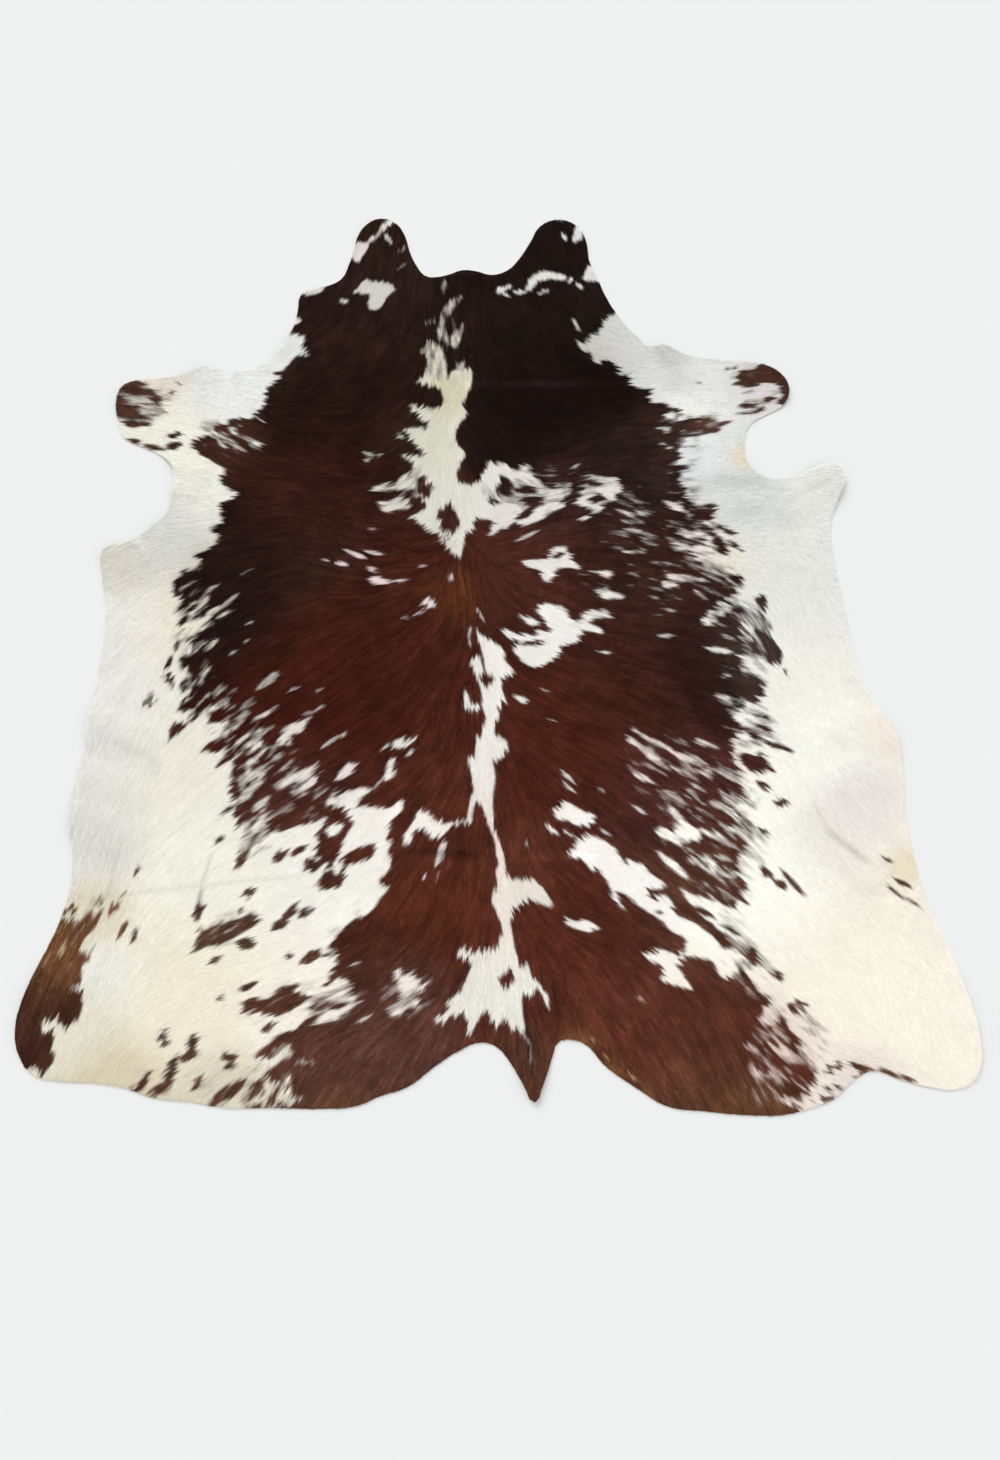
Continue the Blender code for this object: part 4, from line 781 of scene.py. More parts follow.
@dataclass
class Chart:
    """Square cells over the hide, which hold a value each, read at any place between their middles."""

    cell: float = 0.15
    left: float = -4.0
    bottom: float = -4.0
    width: float = 209.0
    height: float = 237.0
    streak_fill: float = 0.55  # widths that a streak reaches to each side at its middle
    streak_taper: float = 0.6  # share of that which it loses toward its ends

    def __post_init__(self) -> None:
        """Works out the number of rows and columns."""
        self.columns = math.ceil(self.width / self.cell)
        self.rows = math.ceil(self.height / self.cell)

    def blank(self) -> np.ndarray:
        """Returns a chart of zeros."""
        return np.zeros((self.rows, self.columns), np.float32)

    def middles(self, columns: tuple[int, int], rows: tuple[int, int]) -> np.ndarray:
        """Places the middles of the cells in a window.

        Args:
            columns: The first column, and the one after the last.
            rows: The first row, and the one after the last.

        Returns:
            The middles, as rows by columns by two.
        """
        x = self.left + (np.arange(*columns) + 0.5) * self.cell
        y = self.bottom + (np.arange(*rows) + 0.5) * self.cell
        return np.stack(np.meshgrid(x, y), -1)

    def places(self) -> np.ndarray:
        """Returns the middle of every cell, as rows by columns by two."""
        return self.middles((0, self.columns), (0, self.rows)).astype(np.float32)

    def cells(self, x: np.ndarray, y: np.ndarray) -> tuple[np.ndarray, np.ndarray]:
        """Returns the rows and columns of places that are given in cells, kept on the chart."""
        return y.astype(np.int32).clip(0, self.rows - 1), x.astype(np.int32).clip(0, self.columns - 1)

    def fill(self, values: np.ndarray, edge: Points | np.ndarray, value: float) -> None:
        """Gives the cells inside a closed line a value.

        Args:
            values: The chart that is changed.
            edge: The line's corners.
            value: What its cells get.
        """
        start = np.asarray(edge, float)
        end = np.roll(start, -1, 0)
        low, high = ((limit - self.bottom) / self.cell for limit in (start[:, 1].min(), start[:, 1].max()))
        for row in range(max(0, int(low)), min(self.rows, int(high) + 1)):
            y = self.bottom + (row + 0.5) * self.cell
            cut = (start[:, 1] > y) != (end[:, 1] > y)
            a, b = start[cut], end[cut]
            x = np.sort(a[:, 0] + (y - a[:, 1]) * (b[:, 0] - a[:, 0]) / (b[:, 1] - a[:, 1]))
            for first, last in ((x.reshape(-1, 2) - self.left) / self.cell + 0.5).astype(int).clip(0):
                values[row, first:last] = value

    def draw(self, values: np.ndarray, streak: Streak, value: float) -> None:
        """Gives the cells under a streak a value.

        Args:
            values: The chart that is changed.
            streak: The streak, widest at its middle.
            value: What its cells get.
        """
        rows, columns, share, apart = self.beside(streak, streak.width + self.cell)
        taper = 1 - self.streak_taper * np.abs(2 * share - 1) ** 2
        values[rows, columns][apart < self.streak_fill * streak.width * taper] = value

    def beside(self, line: Streak | PaintedShade | Crease,
               reach: float) -> tuple[slice, slice, np.ndarray, np.ndarray]:
        """Finds the cells near a line.

        Args:
            line: The line, from its first four values.
            reach: How far from it the cells may lie, cm.

        Returns:
            Their rows and columns, and for each how far along the line and how far from it it lies.
        """
        start, end = np.array(line[:2]), np.array(line[2:4])
        low = ((np.minimum(start, end) - reach - (self.left, self.bottom)) / self.cell).astype(int).clip(0)
        high = ((np.maximum(start, end) + reach - (self.left, self.bottom)) / self.cell).astype(int) + 1
        high = np.minimum(high, (self.columns, self.rows))
        off = self.middles((low[0], high[0]), (low[1], high[1])) - start
        along = end - start
        share = (off @ along / (along @ along)).clip(0, 1)
        apart = np.linalg.norm(off - share[..., None] * along, axis=-1)
        return slice(low[1], high[1]), slice(low[0], high[0]), share, apart

    def read(self, values: np.ndarray, places: np.ndarray) -> np.ndarray:
        """Reads a chart at places, evenly between the cells round each.

        Args:
            values: The chart, with one or more values a cell.
            places: The places, with x and y last.

        Returns:
            A value, or a row of them, for each place.
        """
        just_under = 1.001  # keeps the next row and column on the chart
        x = ((places[..., 0] - self.left) / self.cell - 0.5).clip(0, self.columns - just_under)
        y = ((places[..., 1] - self.bottom) / self.cell - 0.5).clip(0, self.rows - just_under)
        i, j = y.astype(int), x.astype(int)
        v, u = (y - i).astype(np.float32), (x - j).astype(np.float32)
        if values.ndim == 3:
            v, u = v[..., None], u[..., None]
        low = values[i, j] * (1 - u) + values[i, j + 1] * u
        high = values[i + 1, j] * (1 - u) + values[i + 1, j + 1] * u
        return low * (1 - v) + high * v


@dataclass
class Fleece:
    """What is known of the hair at each place: the way it lies, its streaks, its kind and its colour.

    Each field that ends in soft says how often soften goes over a chart.
    """

    fine: Chart = field(default_factory=Chart)
    middling: Chart = field(default_factory=lambda: Chart(cell=0.5))
    coarse: Chart = field(default_factory=lambda: Chart(cell=1.0))

    # The noise that the coat's streaks, flecks and blotches are drawn from.
    locks: float = 2.6  # cm, length of a fine streak
    fleck: float = 3.6  # cm, length of a fleck where brown and white mix
    fine_soft: int = 1  # of the noise that fine streaks are drawn from
    broad_soft: int = 5  # of that of broad ones
    fleck_soft: int = 12  # of that of flecks
    cloud_soft: tuple[int, int] = (2, 30)  # of blotches, and of clouds

    # The marks' edges.
    ragged: float = 1.3  # cm that the marks' edges run out along the hair
    ragged_broad: float = 0.7  # part of the broad streaks in that, to one of the fine
    neck: float = 188.0  # cm up the hide, where the shorter hair of the head begins
    neck_over: float = 12.0  # cm over which it gets shorter
    calm: float = 0.65  # share by which the edges run out less on the head
    mark_soft: int = 6  # of the marks as drawn
    edge_mix: float = 2.4  # how far flecks break up a soft edge
    edge_most: float = 0.25  # the most that an edge may count as mixed
    cut: float = 0.42  # share of brown at which the hair turns from white to brown
    band: float = 0.6  # width of that turn, as a share of brown
    roan_band: float = 0.26  # what a roan zone adds to it

    # The roan zones, where brown and white hair mix.
    blend: float = 0.4  # how far a roan zone rules over the marks drawn in it
    roan_mix: float = 1.15  # how far flecks break it up
    roan_fine: float = 0.3  # part of the fine streaks in the flecks
    roan_fall: float = 0.7  # how steeply a zone ends: low is steep

    # The lie and the colours.
    lie_reach: float = 5.0  # cm round a place of LIES that its angle rules
    far_pull: float = 1e-4  # how weakly a tint still counts past its reach
    far_reach: float = 20.0  # cm over which that fades
    painted_shade_reach: float = 3.0  # half widths to which a line of painted shade counts
    brown_variety: Variety = Variety(0.30, 0.46, 0.25, 1.6)
    white_variety: Variety = Variety(0.03, 0.03, 0.0, 0.25)
    brightest: float = 0.97  # linear light that the whitest hair gives back

    def __post_init__(self) -> None:
        """Draws the charts, from the lie of the hair to its colours."""
        self.rng = np.random.default_rng(SEED)
        self.lie = self._comb()
        lie = self.coarse.read(self.lie, self.fine.places())
        self.fine_streaks = self._streaks(lie, self.fine_soft, self.locks)
        self.broad_streaks = self._streaks(lie, self.broad_soft, 2 * self.locks)
        self.flecks = self._streaks(lie, self.fleck_soft, self.fleck)
        self.brown = self._marks(lie)
        # Shade painted along folds and creases, and a few lighter lines, as a factor on the colours.
        self.shade = self._painted_shades()
        self.brown_tint = self._tinted(BROWN_TINTS)
        self.white_tint = self._tinted(WHITE_TINTS)
        shape = self.coarse.blank().shape
        self.clouds = [evened(soften(self.rng.normal(size=shape), times)) for times in self.cloud_soft]

    def _comb(self) -> np.ndarray:
        """Blends the ways of LIES between their places.

        Returns:
            The way the hair lies on the coarse chart, as rows by columns by x and y of a unit.
        """
        place = self.coarse.places()
        total = np.zeros_like(place)
        for spot in LIES:
            apart = ((place - (spot.x, spot.y)) ** 2).sum(-1) + self.lie_reach**2
            way = np.array((math.cos(math.radians(spot.angle)), math.sin(math.radians(spot.angle))))
            total += way / apart[..., None] ** 2
        return total / np.linalg.norm(total, axis=-1, keepdims=True)

    def _streaks(self, lie: np.ndarray, wide: int, length: float) -> np.ndarray:
        """Draws noise out along the hair into streaks.

        Args:
            lie: The way the hair lies on the fine chart.
            wide: How often the noise is softened first.
            length: The streaks' length, cm.

        Returns:
            Values from 0 to 1 on the fine chart.
        """
        noise = soften(self.rng.normal(size=lie.shape[:2]).astype(np.float32), wide)
        total = noise.copy()
        for way in (1, -1):
            y, x = np.mgrid[0 : self.fine.rows, 0 : self.fine.columns].astype(np.float32)
            for _ in range(round(length / self.fine.cell / 2)):
                step = lie[self.fine.cells(x, y)]
                x, y = x + way * step[..., 0], y + way * step[..., 1]
                total += noise[self.fine.cells(x, y)]
        return evened(total)

    def _drawn(self) -> np.ndarray:
        """Draws the saddle, the marks and the streaks over each other.

        Returns:
            The share of brown hair on the fine chart.
        """
        brown = self.fine.blank()
        self.fine.fill(brown, SADDLE, Hair.BROWN.value)
        for patches, hair in ((WHITE_MARKS, Hair.WHITE), (BROWN_MARKS, Hair.BROWN)):
            for patch in patches:
                self.fine.fill(brown, patch.edge, hair.brown(patch.share))
        for streaks, hair in ((BROWN_STREAKS, Hair.BROWN), (WHITE_STREAKS, Hair.WHITE)):
            for streak in streaks:
                self.fine.draw(brown, streak, hair.brown(streak.share))
        return brown

    def _marks(self, lie: np.ndarray) -> np.ndarray:
        """Runs the drawn marks out along the hair and mixes the roan zones in.

        Args:
            lie: The way the hair lies on the fine chart.

        Returns:
            The share of brown hair on the fine chart.
        """
        chart, place = self.fine, self.fine.places()
        run = (self.fine_streaks - 0.5) + (self.broad_streaks - 0.5) * self.ragged_broad
        run *= self.ragged * (1 - self.calm * ((place[..., 1] - self.neck) / self.neck_over).clip(0, 1))
        share = chart.read(soften(self._drawn(), self.mark_soft), place - lie * run[..., None])
        noise = self.roan_fine * self.fine_streaks + (1 - self.roan_fine) * self.flecks - 0.5
        weight = chart.blank()
        for zone in ROANS:
            turn = math.radians(zone.turn)
            off = place - np.array((zone.x, zone.y), np.float32)
            u = (off[..., 0] * math.cos(turn) + off[..., 1] * math.sin(turn)) / zone.half_long
            v = (off[..., 1] * math.cos(turn) - off[..., 0] * math.sin(turn)) / zone.half_wide
            near = zone.strength * (1 - (u * u + v * v).clip(0, 1)) ** self.roan_fall
            share = share + (zone.brown_share - share) * near * self.blend
            weight = np.maximum(weight, near)
        edge = (share * (1 - share)).clip(0, self.edge_most)
        share = share + noise * (self.edge_mix * edge + self.roan_mix * weight)
        return ((share - self.cut) / (self.band + self.roan_band * weight) + 0.5).clip(0, 1)

    def _painted_shades(self) -> np.ndarray:
        """Paints shade into the coat along folds and creases, and lightens it along a few lines.

        Returns:
            The light that they leave it, on the fine chart.
        """
        light = self.fine.blank() + 1
        for line in PAINTED_SHADES:
            rows, columns, share, apart = self.fine.beside(line, self.painted_shade_reach * line.half_width)
            near = np.exp(-((apart / line.half_width) ** 2)) * (1 - np.abs(2 * share - 1) ** 3)
            light[rows, columns] *= line.light**near
        return light

    def _tinted(self, tints: tuple[Tint, ...]) -> np.ndarray:
        """Blends a table's colours between its places.

        Args:
            tints: The table.

        Returns:
            Linear red, green and blue on the coarse chart.
        """
        place, never_zero = self.coarse.places(), 1e-9
        total, weights = np.zeros((*place.shape[:2], 3), np.float32), self.coarse.blank() + never_zero
        for tint in tints:
            apart = ((place - (tint.x, tint.y)) ** 2).sum(-1)
            near = np.exp(-apart / tint.reach**2) + self.far_pull / (1 + apart / self.far_reach**2) ** 3
            total += near[..., None] * np.array(linear(tint.colour)[:3])
            weights += near
        return total / weights[..., None]

    def colours(self, places: np.ndarray, brown: np.ndarray, vary: float) -> np.ndarray:
        """Mixes the hair's colour at places.

        Args:
            places: The places.
            brown: The share of brown hair at each.
            vary: How far one lock's shade is from the next, as a share.

        Returns:
            Linear red, green, blue and alpha for each place.
        """
        mottle, cloud = (self.coarse.read(c.astype(np.float32), places) - 0.5 for c in self.clouds)
        streak = self.fine.read(self.broad_streaks, places) - 0.5
        lock = self.rng.normal(size=len(places)) * vary
        deep, pale = (
            self.coarse.read(tint, places)
            * np.exp(by.mottle * mottle + by.streak * streak + by.cloud * cloud + by.lock * lock)[:, None]
            for tint, by in ((self.brown_tint, self.brown_variety), (self.white_tint, self.white_variety))
        )
        # Both kinds of hair take the shade painted along folds and creases.
        mixed = (pale + (deep - pale) * brown[:, None]) * self.fine.read(self.shade, places)[:, None]
        return np.column_stack([mixed.clip(0, self.brightest), np.ones(len(places))]).astype(np.float32)


@dataclass(frozen=True)
class Finish:
    """What every finish has: the real material's name, and how rough and how glossy it is."""

    name: str
    roughness: float
    specular: float

    def start(self) -> tuple[bpy.types.Material, bpy.types.ShaderNode]:
        """Makes a material with these values.

        Returns:
            The material and its shader.
        """
        material = bpy.data.materials.new(self.name)
        material.use_nodes = True
        shader = material.node_tree.nodes["Principled BSDF"]
        shader.inputs["Roughness"].default_value = self.roughness
        shader.inputs["Specular IOR Level"].default_value = self.specular
        return material, shader


@dataclass(frozen=True)
class HairFinish(Finish):
    """Short smooth cow hair: each hair is a polished keratin rod, so that the coat has a soft gloss."""

    name: str = "cow_hair"
    roughness: float = 0.5
    specular: float = 0.02  # low, since the crossing hairs spread their gloss
    ior: float = 1.55  # keratin
    root_light: float = 0.92  # share of the hair's colour kept at the roots, as painted shade
    lit_from: float = 0.6  # share of a lock's length from which it is fully lit

    def material(self) -> bpy.types.Material:
        """Paints shade into the hair's own colour toward its roots.

        Returns:
            The material.
        """
        material, shader = self.start()
        node = partial(add_node, material.node_tree)
        hair = node("ShaderNodeAttribute", {"attribute_name": COAT})
        along = node("ShaderNodeAttribute", {"attribute_name": ALONG})
        # Painted shade: the hair's colour darkens toward the roots, for the light that the locks over them
        # hold back.
        root_shade = node("ShaderNodeMapRange", Value=along.outputs["Fac"], From_Min=0.0, From_Max=self.lit_from,
                     To_Min=self.root_light, To_Max=1.0)
        shaded = node("ShaderNodeVectorMath", {"operation": "SCALE"}, in_0=hair.outputs["Color"],
                      Scale=root_shade.outputs["Result"])
        material.node_tree.links.new(shaded.outputs[0], shader.inputs["Base Color"])
        shader.inputs["IOR"].default_value = self.ior
        return material


@dataclass(frozen=True)
class SkinFinish(Finish):
    """Hair side of the leather between the locks: the coat's own colours, with the hair's shade painted in by
    the sheet.
    """

    name: str = "hair_side_skin"
    roughness: float = 0.75
    specular: float = 0.05

    def material(self) -> bpy.types.Material:
        """Takes the coat's colour from the sheet, darkened there as painted shade under the hair.

        Returns:
            The material.
        """
        material, shader = self.start()
        hair = add_node(material.node_tree, "ShaderNodeAttribute", {"attribute_name": COAT})
        material.node_tree.links.new(hair.outputs["Color"], shader.inputs["Base Color"])
        return material


@dataclass(frozen=True)
class SuedeFinish(Finish):
    """Chrome-tanned split on the flesh side: a matt nap with a cloudy shade."""

    name: str = "tanned_suede"
    roughness: float = 0.92
    specular: float = 0.5
    pale: str = "#d8cbb6"
    deep: str = "#b9a78e"
    cloud_mm: float = 90.0
    cloud_detail: float = 5.0
    nap_mm: float = 2.5  # a real nap is under 0.5 mm; drawn coarser, so that it shows
    nap_detail: float = 3.0
    nap_depth_mm: float = 0.4
    nap_strength: float = 0.35

    def material(self) -> bpy.types.Material:
        """Clouds the colour and raises the nap, from Object coordinates.

        Returns:
            The material.
        """
        material, shader = self.start()
        node, link = partial(add_node, material.node_tree), material.node_tree.links.new
        where = node("ShaderNodeTexCoord").outputs["Object"]
        cloud, nap = (
            node("ShaderNodeTexNoise", Vector=where, Scale=1 / (size * MM), Detail=detail).outputs["Fac"]
            for size, detail in ((self.cloud_mm, self.cloud_detail), (self.nap_mm, self.nap_detail))
        )
        # Sockets 6, 7 and 2 of Mix are its two colours and their mixture.
        ramp = node("ShaderNodeMix", {"data_type": "RGBA"}, Factor=cloud, in_6=linear(self.deep),
                    in_7=linear(self.pale))
        bump = node("ShaderNodeBump", Strength=self.nap_strength, Distance=self.nap_depth_mm * MM, Height=nap)
        link(ramp.outputs[2], shader.inputs["Base Color"])
        link(bump.outputs["Normal"], shader.inputs["Normal"])
        return material


@dataclass(frozen=True)
class FloorFinish(Finish):
    """Matt paint on a pale studio floor."""

    name: str = "studio_floor"
    roughness: float = 0.9
    specular: float = 0.1
    colour: str = "#d4d5d5"

    def material(self) -> bpy.types.Material:
        """Takes the paint's colour.

        Returns:
            The material.
        """
        material, shader = self.start()
        shader.inputs["Base Color"].default_value = linear(self.colour)
        return material


@dataclass
class Leather:
    """The tanned skin: a closed thin sheet on the solid's own outline and folds, with finer creases."""

    fleece: Fleece
    name: str = "hide_leather"
    thickness: float = 2.5 * MM
    step: float = 11.0 * MM  # between the points of its hair side
    row_apart: float = 0.866  # steps between their rows, as in a grid of even triangles
    stray: float = 0.15  # steps that a point strays from that grid
    clear_soft: int = 8  # softenings of the outline that keep its points clear of the cut edge
    clear_over: float = 0.97  # share of the softened outline above which they stand
    cover_soft: int = 12  # softenings of the outline that the tips of the locks are held to
    fold_soft: int = 2  # softenings of the folds
    mark_soft: int = 2  # softenings of the marks, on the skin between the locks
    down: float = -0.5  # faces with a normal under this are the solid's underside
    probe: float = 60.0 * MM  # how far outside the outline a fold still counts
    crease_fall: float = 1.5  # how steeply a crease ends: high is steep
    crease_reach: float = 4.0  # half widths to which it counts
    shade_under_hair: float = 0.8  # share of the coat's colour that the skin between the locks keeps, as painted shade under the hair

    def __post_init__(self) -> None:
        """Reads the solid's underside: its outline and how far it leaves the floor."""
        solid = bmesh.new()
        solid.from_mesh(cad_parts["hide"].data)
        bmesh.ops.remove_doubles(solid, verts=solid.verts, dist=MM * MM)
        upper = [face for face in solid.faces if face.normal.z > self.down]
        bmesh.ops.delete(solid, geom=upper, context="FACES")
        solid.verts.ensure_lookup_table()
        solid.verts.index_update()
        self.under_points = [vertex.co.copy() for vertex in solid.verts]
        self.under_faces = [[vertex.index for vertex in face.verts] for face in solid.faces]
        self.rim = self._rim(solid)
        self.under = BVHTree.FromBMesh(solid)
        solid.free()
        outline = to_hide(np.array([self.under_points[k].to_2d()[:] for k in self.rim]))
        self.inside = self.fleece.fine.blank()
        self.fleece.fine.fill(self.inside, outline, 1.0)
        self.cover = soften(self.inside, self.cover_soft)
        self.relief = self._relief() + self._creases()

    @staticmethod
    def _rim(solid: bmesh.types.BMesh) -> list[int]:
        """Follows the cut edge.

        Args:
            solid: The underside.

        Returns:
            The numbers of the edge's points in order, anticlockwise from above.
        """
        loops = [edge.link_loops[0] for edge in solid.edges if len(edge.link_loops) == 1]
        after = {loop.link_loop_next.vert.index: loop.vert.index for loop in loops}
        rim = [next(iter(after))]
        while after[rim[-1]] != rim[0]:
            rim.append(after[rim[-1]])
        return rim

    def _relief(self) -> np.ndarray:
        """Measures how far the underside leaves the floor.

        Returns:
            Its height, in metres on the middling chart.
        """
        chart = self.fleece.middling
        heights = chart.blank()
        places = to_row(chart.places())
        for row in range(chart.rows):
            for column in range(chart.columns):
                x, y = places[row, column]
                # Straight up from a metre under the floor.
                hit = self.under.ray_cast(Vector((x, y, -1.0)), Vector((0.0, 0.0, 1.0)))[0]
                if hit is None:
                    hit = self.under.find_nearest(Vector((x, y, 0.0)), self.probe)[0]
                heights[row, column] = hit.z if hit else 0.0
        return soften(heights, self.fold_soft)

    def _creases(self) -> np.ndarray:
        """Presses the lines of CREASES in.

        Returns:
            Their height, in metres on the middling chart.
        """
        heights = self.fleece.middling.blank()
        for crease in CREASES:
            reach = self.crease_reach * crease.half_width
            rows, columns, _, apart = self.fleece.middling.beside(crease, reach)
            fall = np.exp(-self.crease_fall * (apart / crease.half_width) ** 2)
            heights[rows, columns] += crease.height * MM * fall
        return heights

    def height(self, places: np.ndarray) -> np.ndarray:
        """Returns the height of the hair side at places, in metres."""
        return self.fleece.middling.read(self.relief, places) + self.thickness

    def _grid(self) -> np.ndarray:
        """Spreads points over the hair side, clear of its cut edge and a little uneven.

        Returns:
            Their places, in metres.
        """
        rng = np.random.default_rng(SEED + 1)
        half = np.array(((CAD_BOX[1].x - CAD_BOX[0].x) / 2, (CAD_BOX[1].y - CAD_BOX[0].y) / 2))
        count = np.ceil(half / self.step / (1.0, self.row_apart)).astype(int)
        j, i = np.mgrid[-count[1] : count[1] + 1, -count[0] : count[0] + 1]
        grid = np.stack([i + (j % 2) / 2, j * self.row_apart], -1).reshape(-1, 2) * self.step
        grid = grid + rng.uniform(-self.stray, self.stray, grid.shape) * self.step
        fine = self.fleece.fine
        return grid[fine.read(soften(self.inside, self.clear_soft), to_hide(grid)) > self.clear_over]

    def build(self, skin: bpy.types.Material, suede: bpy.types.Material) -> bpy.types.Object:
        """Makes the sheet.

        Args:
            skin: The hair side's material.
            suede: The flesh side's and the cut edge's.

        Returns:
            The sheet, closed, with its colours in the attribute that the materials read.
        """
        edge = [self.under_points[k].to_2d() for k in self.rim]
        ring = [(k, (k + 1) % len(edge)) for k in range(len(edge))]
        inner = [Vector(place) for place in self._grid()]
        inside_only, nearest = 1, 1e-7  # what the triangles cover, and how close two points may be
        points, _, faces, *_ = delaunay_2d_cdt(edge + inner, ring, [], inside_only, nearest)
        flat = np.array([point[:] for point in points])
        top = np.column_stack([flat, self.height(to_hide(flat))])
        under = np.array([point[:] for point in self.under_points])
        rim = np.arange(len(edge))
        top[rim, 2] = np.maximum(top[rim, 2], under[self.rim, 2] + self.thickness / 2)
        below = len(top) + np.array(self.rim)
        sides = [(a, below[a], below[b], b) for a, b in ring]
        polygons = list(faces) + [tuple(len(top) + k for k in face) for face in self.under_faces] + sides
        mesh = bpy.data.meshes.new(self.name)
        mesh.from_pydata(np.concatenate([top, under]).tolist(), [], [tuple(map(int, p)) for p in polygons])
        for material in (skin, suede):
            mesh.materials.append(material)
        number = np.arange(len(polygons))
        mesh.polygons.foreach_set("material_index", (number >= len(faces)).astype(np.int32))
        mesh.polygons.foreach_set("use_smooth", number < len(polygons) - len(sides))
        self._dress(mesh, len(faces))
        shape = bmesh.new()
        shape.from_mesh(mesh)
        bmesh.ops.recalc_face_normals(shape, faces=shape.faces)
        shape.to_mesh(mesh)
        shape.free()
        return add_object(self.name, mesh)

    def _dress(self, mesh: bpy.types.Mesh, upper: int) -> None:
        """Gives the sheet its colours and a flat map, its hair side on the left and the rest on the right.

        Args:
            mesh: The sheet's mesh.
            upper: How many of its first polygons are the hair side.
        """
        fleece, place = self.fleece, point_places(mesh)
        spots = to_hide(place[:, :2].astype(float))
        tones = fleece.colours(spots, fleece.fine.read(soften(fleece.brown, self.mark_soft), spots), 0.0)
        # Painted shade: the skin between the locks is darkened for the hair over it.
        tones[:, :3] *= self.shade_under_hair
        add_values(mesh, COAT, "FLOAT_COLOR", "color", tones)
        # What a metre of width, length and height is on the map, from the middle of its left half.
        wide, long, lift = 0.24, 0.43, 0.4
        flat = np.column_stack([0.25 + place[:, 0] * wide, 0.5 + place[:, 1] * long - place[:, 2] * lift])
        beyond = np.arange(len(mesh.loops)) >= mesh.polygons[upper].loop_start
        lay_out(mesh, flat, np.outer(beyond, (0.5, 0.0)))


@dataclass
class Coat:
    """The hair: short locks that lie back over the leather, in bands from the head to the hem."""

    fleece: Fleece
    leather: Leather
    bands: tuple[str, ...] = ("coat_neck", "coat_shoulders", "coat_barrel", "coat_loin", "coat_rump")
    locks_a_band: int = 160_000  # of one triangle each
    length: float = 15.0 * MM
    shortest: float = 0.75  # share of that length that the shortest lock has
    longest: float = 1.2
    width: float = 1.5 * MM  # a lock of ten or so hairs, since one hair is too fine to show
    sunk: float = 0.1 * MM  # of its root in the skin
    rise: float = math.radians(8.0)
    roll: float = 0.45  # radians that a lock may roll to either side about its own length
    waver: float = 0.35  # radians over which streaks of locks turn, from one side of the lie to the other
    stray: float = 0.09  # radians that one lock strays from the next
    vary: float = 0.16  # how far a lock's shade is from the next
    mixed: float = 0.5  # how far its kind is from the next where brown and white meet
    read_at: float = 0.45  # share of its length at which its kind is read
    slope_over: float = 0.5  # cm to each side over which the skin's slope is taken
    on_skin: float = 0.6  # share of a cell that is hide where a lock may root
    overhang: float = 0.42  # how far the cover chart may fall where a tip lies, which is about 1 mm out
    cuts: tuple[float, ...] = (0.25, 0.4, 0.55, 0.7, 0.85, 1.0)  # shares of its length that a lock may keep

    def _roots(self) -> np.ndarray:
        """Spreads the locks' roots evenly.

        Returns:
            The roots in the hide's centimetres, from the head to the hem.
        """
        rng = np.random.default_rng(SEED + 2)
        chart = self.fleece.fine
        area = self.leather.inside.sum() * chart.cell**2
        step = math.sqrt(area / (self.locks_a_band * len(self.bands)))
        x = np.arange(chart.left, chart.left + chart.width, step)
        y = np.arange(chart.bottom, chart.bottom + chart.height, step)
        place = np.stack(np.meshgrid(x, y), -1).reshape(-1, 2)
        place = place + rng.uniform(0, step, place.shape)
        roots = place[chart.read(self.leather.inside, place) > self.on_skin]
        return roots[np.argsort(-roots[:, 1])]

    def _kept(self, roots: np.ndarray, way: np.ndarray) -> np.ndarray:
        """Shortens the locks near the cut edge, so that no tip runs far past it.

        Args:
            roots: Their roots, in the hide's centimetres.
            way: The way that each points.

        Returns:
            The share of its length that each keeps.
        """
        share = np.full(len(roots), self.cuts[0])
        for kept in self.cuts[1:]:
            tips = roots + way * (kept * self.length / CM)
            share[self.fleece.fine.read(self.leather.cover, tips) > self.overhang] = kept
        return share

    def _ways(self, roots: np.ndarray) -> np.ndarray:
        """Points each lock along the lie of the hair, a little off it.

        Args:
            roots: The locks' roots, in the hide's centimetres.

        Returns:
            The way that each points, as x and y of a unit.
        """
        fleece = self.fleece
        lie = fleece.coarse.read(fleece.lie, roots)
        waver = (fleece.fine.read(fleece.broad_streaks, roots) - 0.5) * self.waver
        waver = waver + fleece.rng.normal(size=len(roots)) * self.stray
        return lie * np.cos(waver)[:, None] + left_of(lie) * np.sin(waver)[:, None]

    def _turns(self, roots: np.ndarray, way: np.ndarray) -> np.ndarray:
        """Lays each lock on the skin's own slope.

        Args:
            roots: The locks' roots, in the hide's centimetres.
            way: The way that each points.

        Returns:
            The turn of each about x, y and z.
        """
        over = self.slope_over
        along, across = (
            (self.leather.height(roots + d * over) - self.leather.height(roots - d * over)) / (2 * over * CM)
            for d in (way, left_of(way))
        )
        return np.column_stack([np.arctan(across), -(self.rise + np.arctan(along)),
                                np.arctan2(way[:, 1], way[:, 0])])

    def _tree(self) -> bpy.types.NodeTree:
        """Lays out the nodes that put a tapered lock on every root.

        Returns:
            The node tree.
        """
        tree = bpy.data.node_groups.new("locks_of_hair", "GeometryNodeTree")
        for name, kind, way in (("Geometry", "Geometry", "INPUT"), ("Hair Length", "Float", "INPUT"),
                                ("Lock Width", "Float", "INPUT"), ("Roll", "Float", "INPUT"),
                                ("Seed", "Int", "INPUT"), ("Finish", "Material", "INPUT"),
                                ("Geometry", "Geometry", "OUTPUT")):
            tree.interface.new_socket(name, in_out=way, socket_type="NodeSocket" + kind)
        given = tree.nodes.new("NodeGroupInput").outputs
        node = partial(add_node, tree)
        divide, multiply = {"operation": "DIVIDE"}, {"operation": "MULTIPLY"}

